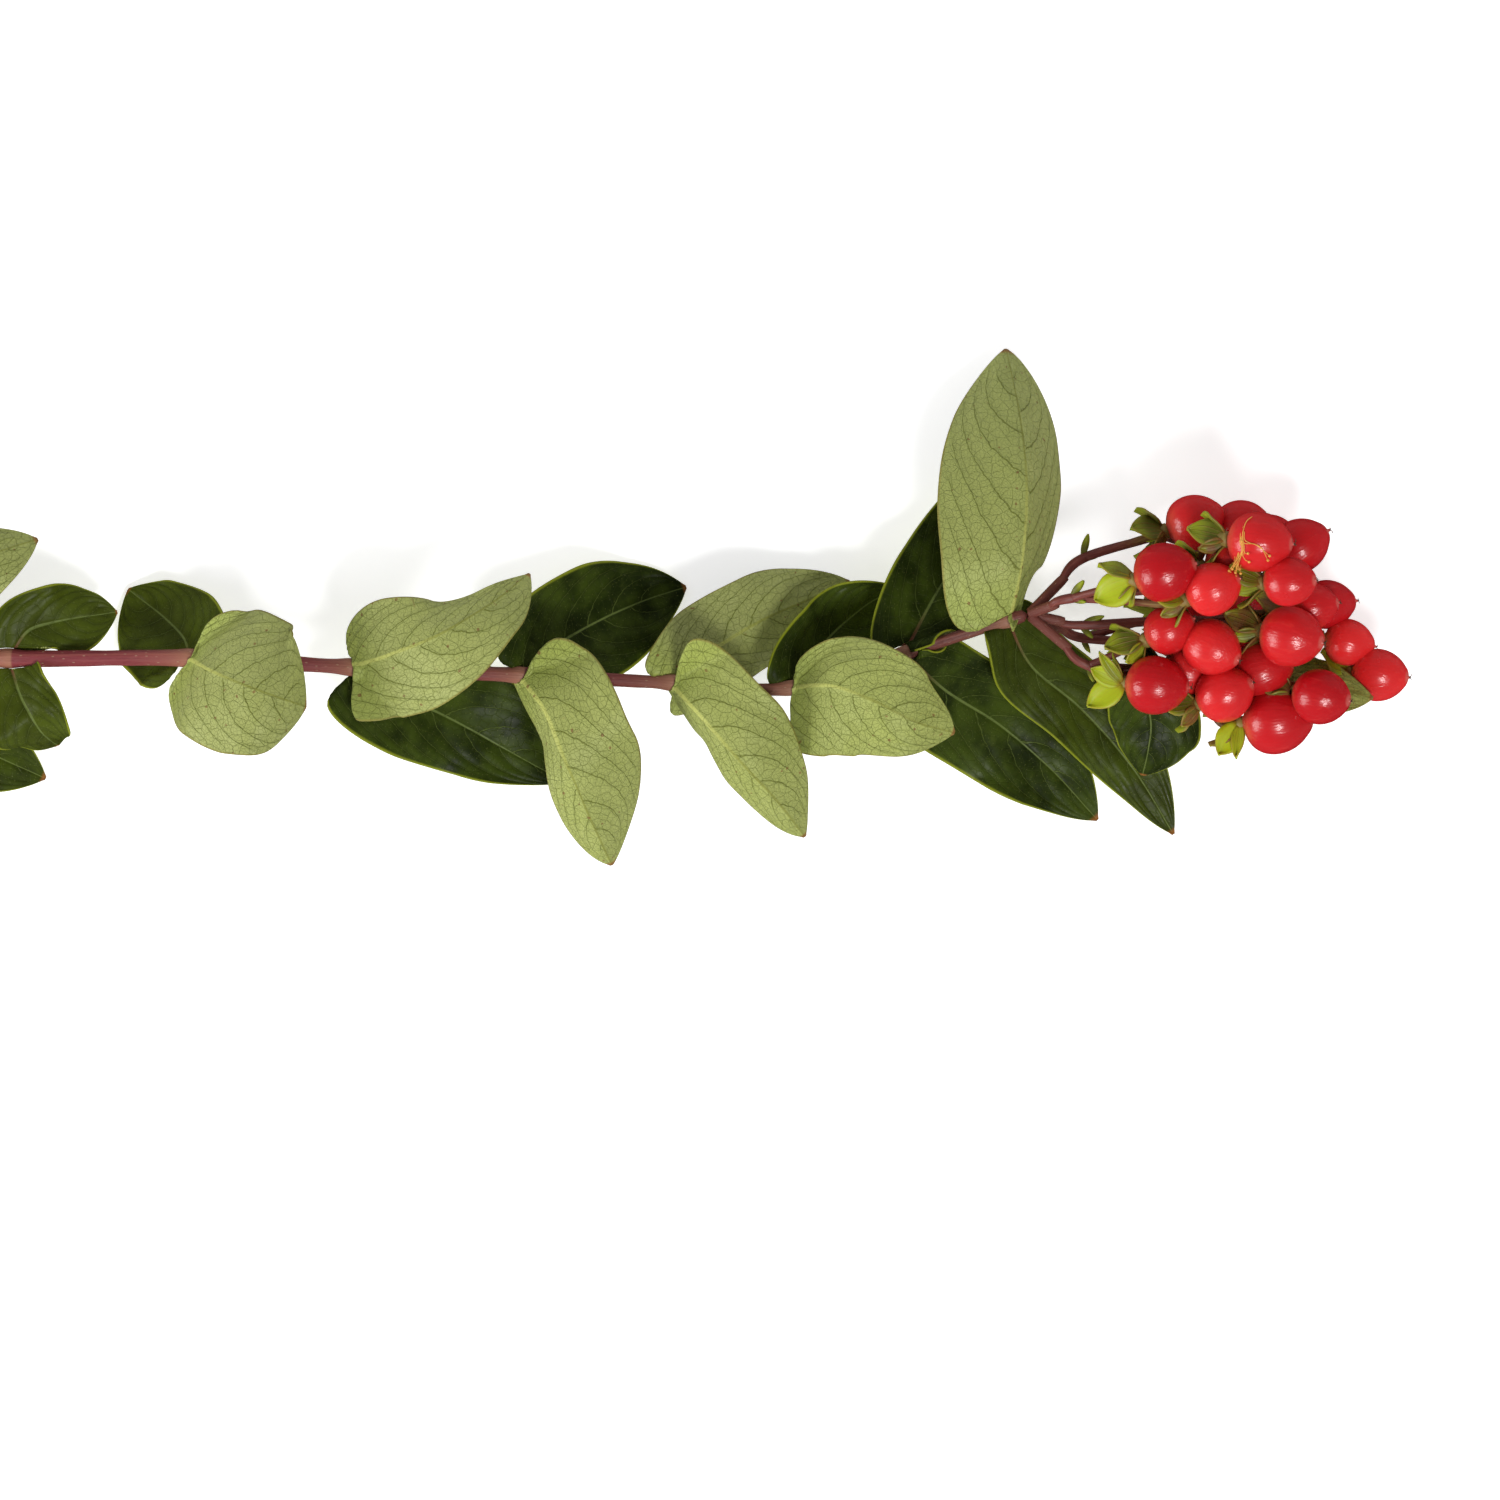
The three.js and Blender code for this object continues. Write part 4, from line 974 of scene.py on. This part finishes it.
edit(berry_master, grow_nib)
egg = read_points(berry_master)
height = np.clip(egg[:, 2], -1, 1)
angle = np.arctan2(egg[:, 1], egg[:, 0])
note(berry_master, "span", in_rows(egg[:, 0], egg[:, 1], height))
furrow = np.exp(-((np.sin(1.5 * angle) / 0.16) ** 2))
girth = 1 - BERRY_TAPER * height + 0.014 * np.cos(3 * angle)
girth -= 0.02 * furrow * ease(-0.2, 0.8, height) * (1 - ease(0.97, 1, height))
girth += 0.03 * ease(-0.2, -0.9, height)
point = 0.05 * ease(0.8, 1, height) - 0.06 * ease(-0.96, -1, height)
egg[:, :2] *= girth[:, None] * BERRY_RADIUS
egg[:, 2] = (egg[:, 2] + point - 0.02) * BERRY_HALF_LENGTH
move_points(berry_master, egg * MM)
print("one berry:", len(berry_master.data.polygons), "faces")

# %% [markdown]
# A few threads of the dried styles curl at the nib. They belong to the one berry too, so they are
# joined to it before it is copied.

# %% Style threads
STYLES, STYLE_FOOT = 3, BERRY_HALF_LENGTH * 1.08

threads = []
for number in range(STYLES):
    turn = 2 * math.pi * (number / STYLES + 0.1)
    out = np.array([math.cos(turn), math.sin(turn), 0])
    reach = 0.8 + 0.2 * number
    rail = Rail([UP * (STYLE_FOOT - 0.6), out * 0.15 + UP * STYLE_FOOT,
                 out * 0.4 + UP * (STYLE_FOOT + 0.4), out * reach + UP * (STYLE_FOOT + 0.35)])
    threads.append(lay_tube("thread", rail, lambda share, across: 0.12 - 0.05 * share, 6, 5,
                            [DRY_BROWN], origin=0))
berry_master = join("berry_master", [berry_master, *threads])
print("with its styles:", len(berry_master.data.polygons), "faces")

# %% Hang the berries
PAINTED_SHADE_UNDER = 0.4  # the lowest spray lies under the others, so its berries get painted shade: their tone is cut to the deeper reds

for spray_number, (name, berries) in enumerate(berries_of.items()):
    fruits = []
    for berry in berries:
        fruit = copy_of(berry_master, "fruit")
        side = off_axis(berry, 2 * math.pi * berry.turn * 5)
        across = np.cross(berry.axis, side)
        put(fruit, np.array([side, across, berry.axis]) * berry.size, berry.centre)
        tone = (berry.turn * 3 + spray_number * 0.37) % 1
        if name == "under":
            # painted shade on the berries that lie under the other sprays
            tone *= PAINTED_SHADE_UNDER
        note(fruit, "blade", np.full((len(fruit.data.vertices), 3), tone))
        fruits.append(fruit)
    dress(join("fruit_" + name, fruits), f"spray_{name}_berries")
bpy.data.objects.remove(berry_master)

# %% [markdown]
# ## Stalks and sepals
# Below each berry stand five green sepals, the larger ones broad and lime coloured, and the berry's
# stalk runs from there to its fork, green at first and reddish brown towards the wood.
# One sepal is made from a grid, and every other is a copy of it with its own size and thickness.

# %% Finishes of the green parts
def green_stalk():
    f = Finish("green stalk", Specular_IOR_Level=0.4)
    ripe, x, around, _ = f.noted("blade")
    streaks = f.noise(f.vector(x * 0.3, around * 2.0, 0.0), 1.0, 3.0)
    colour = f.layers(
        f.mix(streaks, srgb(92, 40, 36), srgb(138, 72, 62)),
        (f.ramp(ripe + streaks * 0.5 - 0.25, 0.45, 1.0), 134, 118, 58),
        (f.ramp(streaks, 0.55, 0.8) * 0.35, 160, 104, 80))
    return f.done(colour, streaks * 0.2 + 0.38, streaks, depth=0.00015)


def sepal_green():
    f = Finish("sepal", Specular_IOR_Level=0.4, Subsurface_Weight=0.08, Subsurface_Scale=0.001)
    along, edge, tone, _ = f.noted("blade")
    x, y, number, _ = f.noted("span")
    cloud = f.noise(f.vector(x * 0.35, y * 0.35, number), 1.0, 3.0)
    lines = f.math("PINGPONG", y * (1.25 - along * 0.45) + cloud * 0.3, 0.5)
    lines = f.ramp(lines, 0.13, 0.04) * f.ramp(edge, 0.9, 0.7)
    lines = lines * f.ramp(tone, 0.9, 0.5) * 0.85 + lines * 0.15
    brown = f.ramp(tone, 0.22, 0.12) * f.ramp(cloud, 0.3, 0.6)
    colour = f.layers(
        f.mix(f.ramp(tone, 0.2, 0.9), srgb(94, 98, 28), srgb(166, 180, 20)),
        (f.ramp(along + cloud * 0.3, 0.5, 1.0) * 0.5, 176, 190, 24),  # limier tips
        (lines * f.ramp(along, 1.0, 0.4) * 0.5, 140, 96, 44),
        (f.ramp(along + cloud * 0.2, 0.3, 0.06) * 0.6, 150, 84, 52),  # ruddy feet
        (brown * 0.8, 122, 74, 42),
        (f.ramp(edge, 0.93, 0.99) * 0.5, 146, 112, 50))
    return f.done(colour, cloud * 0.2 + 0.36, lines * 0.5 + cloud * 0.6, depth=0.00015)


GREEN_STALK, SEPAL = green_stalk(), sepal_green()
print(GREEN_STALK.name, "and", SEPAL.name)


# %% Shape one sepal
SEPAL_THICKNESS = 0.00032


def sepal_sheet(along, across):
    """A small oval sheet, cupped across and curled back at its tip. Its length is 1."""
    along = np.sin(np.pi / 2 * along)  # more rows towards the round tip
    wide = np.maximum(np.sin(np.pi * (0.1 + 0.9 * along)).clip(0) ** 0.75, 0.05)
    lift = 0.12 * along * across**2 - 0.12 * along**2 + 0.02 * np.sin(9 * along) * across**3
    lift -= 0.02 * np.exp(-((across / 0.2) ** 2))
    return in_rows(along, across * wide, lift), {
        "blade": in_rows(along, np.abs(across), 0), "span": in_rows(along * 7, across * 2.6, 0)}


sepal_master = lay_grid("sepal_master", 10, 6, sepal_sheet, [SEPAL], origin=0)
print("one sepal:", len(sepal_master.data.polygons), "faces")


def set_sepal(origin, heading, width, length, half, tone, number):
    """A copy of the sepal at its place. tone runs from brown 0 over olive to lime 1."""
    sepal = copy_of(sepal_master, "sepal")
    put(sepal, [heading * length, width * half, np.cross(heading, width) * length], origin)
    values = np.empty(3 * len(sepal.data.vertices), np.float32)
    for key, third in (("blade", tone), ("span", number * 5.0)):
        stored = sepal.data.attributes[key].data
        stored.foreach_get("vector", values)
        values[2::3] = third
        stored.foreach_set("vector", values)
    thicken(sepal, SEPAL_THICKNESS)
    return sepal


# %% [markdown]
# Where a spray first forks stands a pair of small narrow bracts. They are the same little sheet as
# a sepal, slimmer, so the sepal is copied for them as well.

# %% Bracts at the forks
BRACTS = ((1, 5, 0.7), (-1, 3.4, 0.55))  # the side, the length and half the width of each
BRACT_TONE = 0.3


def fork_bracts(spray, count):
    """Two bracts at a spray's first fork, one to each side of its branch."""
    fork = np.array(spray["forks"][0], float)
    start, _ = branch_ends(spray)
    ahead = unit(fork - start)
    aside = unit(np.cross(UP, ahead))
    made = []
    for number, (side, length, half) in enumerate(BRACTS, count):
        heading = unit(ahead * 0.9 + aside * side * 0.5 + UP * 0.2)
        width = unit(np.cross(heading, UP))
        origin = fork + aside * side * 0.3
        made.append(set_sepal(origin, heading, width, length, half, BRACT_TONE, number))
    return made


# %% [markdown]
# A berry's sepals stand in a ring, every other one large, each bent back by an angle of its own.
# Those that lime lists come first, turned well back along the stalk and fanned out as listed.

# %% The sepals of a berry
SEPALS = 5
LARGE, SMALL = (1.08, 1.0), (0.8, 0.55)  # shares of the length and of the width
BACK, MORE_BACK = 28, 46  # degrees that a sepal bends back at least, and at most more
LIME_BACK, LIME_STEP = 72, 6
RING_RADIUS, RING_DROP = 1.05, 0.5


def foot_of(berry):
    return berry.centre - berry.axis * (BERRY_HALF_LENGTH * berry.size + GAP)


def sepals_of(berry, count):
    made = []
    for number in range(SEPALS):
        spin = 2 * math.pi * ((0.25 if len(berry.lime) == 1 else 0.15) + number / SEPALS)
        spread = (berry.turn * 7 + number * GOLDEN) % 1
        long, wide = SMALL if number % 2 else LARGE
        length = SEPAL_LENGTH * long * (0.92 + 0.16 * spread)
        half = SEPAL_HALF_WIDTH * wide
        tone = (spread * 3.7 + berry.turn) % 1 * 0.62
        back, fan = BACK + MORE_BACK * spread, 0
        if number < len(berry.lime):
            fan, length, half, tone = berry.lime[number]
            spin, back = math.pi / 2, LIME_BACK - LIME_STEP * number
        back = math.radians(back)
        radial = off_axis(berry, spin)
        heading = radial * math.cos(back) - berry.axis * math.sin(back)
        swing = Matrix.Rotation(math.radians(fan), 3, Vector(berry.across))
        heading, width = [
            np.array(swing @ Vector(way)) for way in (heading, np.cross(berry.axis, radial))]
        origin = foot_of(berry) + radial * RING_RADIUS - berry.axis * RING_DROP
        made.append(set_sepal(origin, heading, width, length, half, tone, count + number))
    return made


print(SEPALS * len(all_berries), "sepals to set")


# %% Stalks, cups and sepals of each spray
INTO_CUP, BEFORE_CUP = 0.9, 4  # a stalk's end, and the last place before it that may be pushed
PUSHES = 40
INTO_WOOD = 2.5


def pedicel_rail(berry):
    """From the fork to the berry's foot. Its free points are pushed out of every berry."""
    foot = foot_of(berry)
    before = foot - BEFORE_CUP * berry.axis
    free = [berry.root + (before - berry.root) * share for share in (0.33, 0.67, 1)]
    for _ in range(PUSHES):
        for other in all_berries:
            for point in free:
                away = point - other.centre
                room = (BERRY_HALF_LENGTH if other is berry else PEDICEL_ROOM) * other.size
                if np.linalg.norm(away) < room:
                    point[:] = other.centre + unit(away) * room
    return Rail([berry.root, *free, foot + INTO_CUP * berry.axis])


def pedicel_radius(share, across):
    """Slender, a little thicker at the fork, and widening to the cup that the berry stands on."""
    cup = ease(0.8, 0.95, share)
    return PEDICEL_RADIUS * (1.12 + 0.25 * np.exp(-share * 14)) + cup * 0.95


def branch_radius(share, across):
    """It swells out of the end of its wood, and thins towards the last fork."""
    return BRANCH_RADIUS * (0.9 + 0.25 * ease(0.03, 0.2, share) - 0.25 * share)


def stalk_notes(start, end):
    """How ripe a stalk is at its start and its end: 0 is red wood, and 1 green."""
    return lambda share, across: {
        "blade": in_rows(start + (end - start) * share, share * 20, across * 3)}


sepal_count = 0
for name, spray in SPRAYS.items():
    start, end = branch_ends(spray)
    branch = Rail([end - INTO_WOOD * unit(end - start), *spray["forks"]])
    parts = [lay_tube("branch", branch, branch_radius, 44, 14, [GREEN_STALK],
                      stalk_notes(-0.1, 0.3))]
    for berry in berries_of[name]:
        parts.append(lay_tube("pedicel", pedicel_rail(berry), pedicel_radius, 26, 12,
                              [GREEN_STALK], stalk_notes(0.15, 1.0)))
    for berry in berries_of[name]:
        parts += sepals_of(berry, sepal_count)
        sepal_count += SEPALS
    parts += fork_bracts(spray, sepal_count)
    dress(join("calyx_" + name, parts), f"spray_{name}_stalks")
bpy.data.objects.remove(sepal_master)
print(sepal_count, "sepals")

# %% [markdown]
# ## Dried stamens
# One berry still wears a tuft of dried stamens: fine orange threads with round anthers, which cling
# to its skin. Each thread is a thin tube through a few places seen from above, whose heights are
# read off the berry's egg.

# %% Stamens on one berry
BUNDLE = [[101.2, 46.8], [100.7, 43.6], [100.4, 40.4], [100.1, 36.6]]  # places (x, y) of its middle
IN_BUNDLE, STRAY = 11, [[0.1], [0.25], [0.4], [0.8]]  # threads, and how far each place strays
LOOSE = [  # single threads, each from the tuft's root to its anther
    [[101.2, 46.2], [99.6, 44], [99.7, 41], [99.6, 38.4]],
    [[101.2, 46], [101, 42.6], [101.4, 40.6], [102.1, 40.3]],
    [[101.4, 46], [101.2, 42.6], [103.6, 42.1], [106.5, 39.8]],
    [[101.4, 45], [101.6, 42.9], [104.6, 41.6], [106.2, 38.9]],
    [[101.2, 45], [100.9, 41], [101.5, 39.2], [102.4, 38.6]],
    [[103.2, 48], [101.9, 46.9], [101.2, 45], [100.9, 42.8]],
]
OVER_SKIN, ANTHER_RADIUS = 0.2, 0.3


def above_egg(berry, x, y):
    """The height of the berry's upper surface at x, y, or of its flank where it is passed."""
    axis, centre = berry.axis, berry.centre
    flat = np.array([x - centre[0], y - centre[1], 0])
    long = (BERRY_HALF_LENGTH * berry.size) ** -2
    thin = (BERRY_RADIUS * berry.size * 1.02) ** -2
    lean = flat @ axis
    a = thin + (long - thin) * axis[2] ** 2
    b = 2 * (long - thin) * lean * axis[2]
    c = thin * (flat @ flat) + (long - thin) * lean**2 - 1
    return centre[2] + (-b + math.sqrt(max(0, b * b - 4 * a * c))) / (2 * a)


def stamen_gold():
    f = Finish("stamen", Roughness=0.6)
    grain = f.noise(f.where(), 900.0)
    return f.done(f.mix(grain, srgb(196, 112, 30), srgb(236, 184, 84)), height=grain, depth=0.00005)


STAMEN = stamen_gold()
wearer = berries_of["upper_front"][3]
loosen = np.random.default_rng(5)
threads = [(places, 0.2) for places in LOOSE]
for _ in range(IN_BUNDLE):
    strayed = np.array(BUNDLE) + loosen.normal(0, 1, (4, 2)) * STRAY
    threads.append((strayed, loosen.uniform(0.3, 1.6)))
tuft = []
for places, let_go in threads:
    line = np.array([[x, y, above_egg(wearer, x, y) + OVER_SKIN] for x, y in places])
    line[-1, 2] += let_go  # its end comes off the skin
    tuft.append(lay_tube("stamen", Rail(line), lambda share, across: 0.11 - 0.03 * share, 18, 5,
                         [STAMEN]))
    bpy.ops.mesh.primitive_uv_sphere_add(segments=10, ring_count=6, radius=ANTHER_RADIUS * MM,
                                         location=(line[-1] + PLACE) * MM)
    bpy.ops.object.transform_apply(location=True)
    bpy.context.object.data.materials.append(STAMEN)
    tuft.append(bpy.context.object)
dress(join("stamens", tuft), None)
print(len(threads), "stamens")

# %% [markdown]
# ## Table, light and camera
# The stem lies on a plain white table. A lamp high at the front gives each berry its one highlight,
# a large soft one stands low at the left, and a grey sky, brightest at the height of the eye, fills
# the shadows. The berries mirror the lamps alone, because a white table or sky would lie on their
# red as a haze. The camera looks straight down.

# %% Table
bpy.ops.mesh.primitive_plane_add(size=6, location=PLACE * MM)
table = bpy.context.object
table.name = "table"
table_finish = Finish("table", Roughness=0.9, Specular_IOR_Level=0.1, Emission_Color=(1, 1, 1, 1),
                      Emission_Strength=0.5)
table.data.materials.append(table_finish.done(srgb(250, 250, 250)))
table.visible_glossy = False
print("table at height 0")


# %% Lamps and sky
MIDDLE = Vector((PLACE + 20 * UP) * MM)  # what the lamps look at
LAMP_DISTANCE = 1.4
SKY = ((0.38, 0.2), (0.5, 0.75), (1.0, 0.3))  # brightness from straight down at 0 to overhead at 1


def lamp(name, way, size, power):
    position = Vector(unit(np.array(way)) * LAMP_DISTANCE) + MIDDLE
    bpy.ops.object.light_add(type="AREA", location=position)
    made = bpy.context.object
    made.name, made.data.size, made.data.energy = name, size, power
    made.rotation_euler = (MIDDLE - position).to_track_quat("-Z", "Y").to_euler()


lamp("lamp_above", (0.22, -0.42, 0.88), size=0.29, power=10.5)
lamp("lamp_left", (-0.90, -0.25, 0.36), size=0.75, power=12)

world = bpy.data.worlds.new("soft room")
bpy.context.scene.world = world
world.cycles_visibility.glossy = False
world.use_nodes = True
sky = Nodes(world.node_tree)
way_up = sky.node("ShaderNodeSeparateXYZ", sockets={0: sky.node("ShaderNodeTexCoord")}, output=2)
dimming = sky.node("ShaderNodeValToRGB", sockets={0: way_up * 0.5 + 0.5})
stops = dimming.socket.node.color_ramp.elements
stops.new(0.5)
for stop, (place, grey) in zip(stops, SKY):
    stop.position, stop.color = place, (grey, grey, grey, 1)
background = sky.tree.nodes["Background"].inputs
sky.plug(dimming, background["Strength"])
sky.plug((1, 1, 1, 1), background["Color"])
bpy.context.scene.view_settings.view_transform = "Standard"
print("two lamps and a sky")

# %% Camera
LENS, SENSOR, VIEW_WIDTH, VIEW_HEIGHT_OF_PLANE = 180, 36, 312.5, 25
distance = VIEW_WIDTH * LENS / SENSOR + VIEW_HEIGHT_OF_PLANE
bpy.ops.object.camera_add(location=(PLACE + distance * UP) * MM, rotation=(0, 0, 0))
camera = bpy.context.object
camera.name = "camera"
camera.data.lens = LENS
camera.data.sensor_width = SENSOR
camera.data.clip_end = 20
bpy.context.scene.camera = camera
print("camera", round(distance * MM, 3), "m above the table")

# %% Update the scene
bpy.context.view_layer.update()
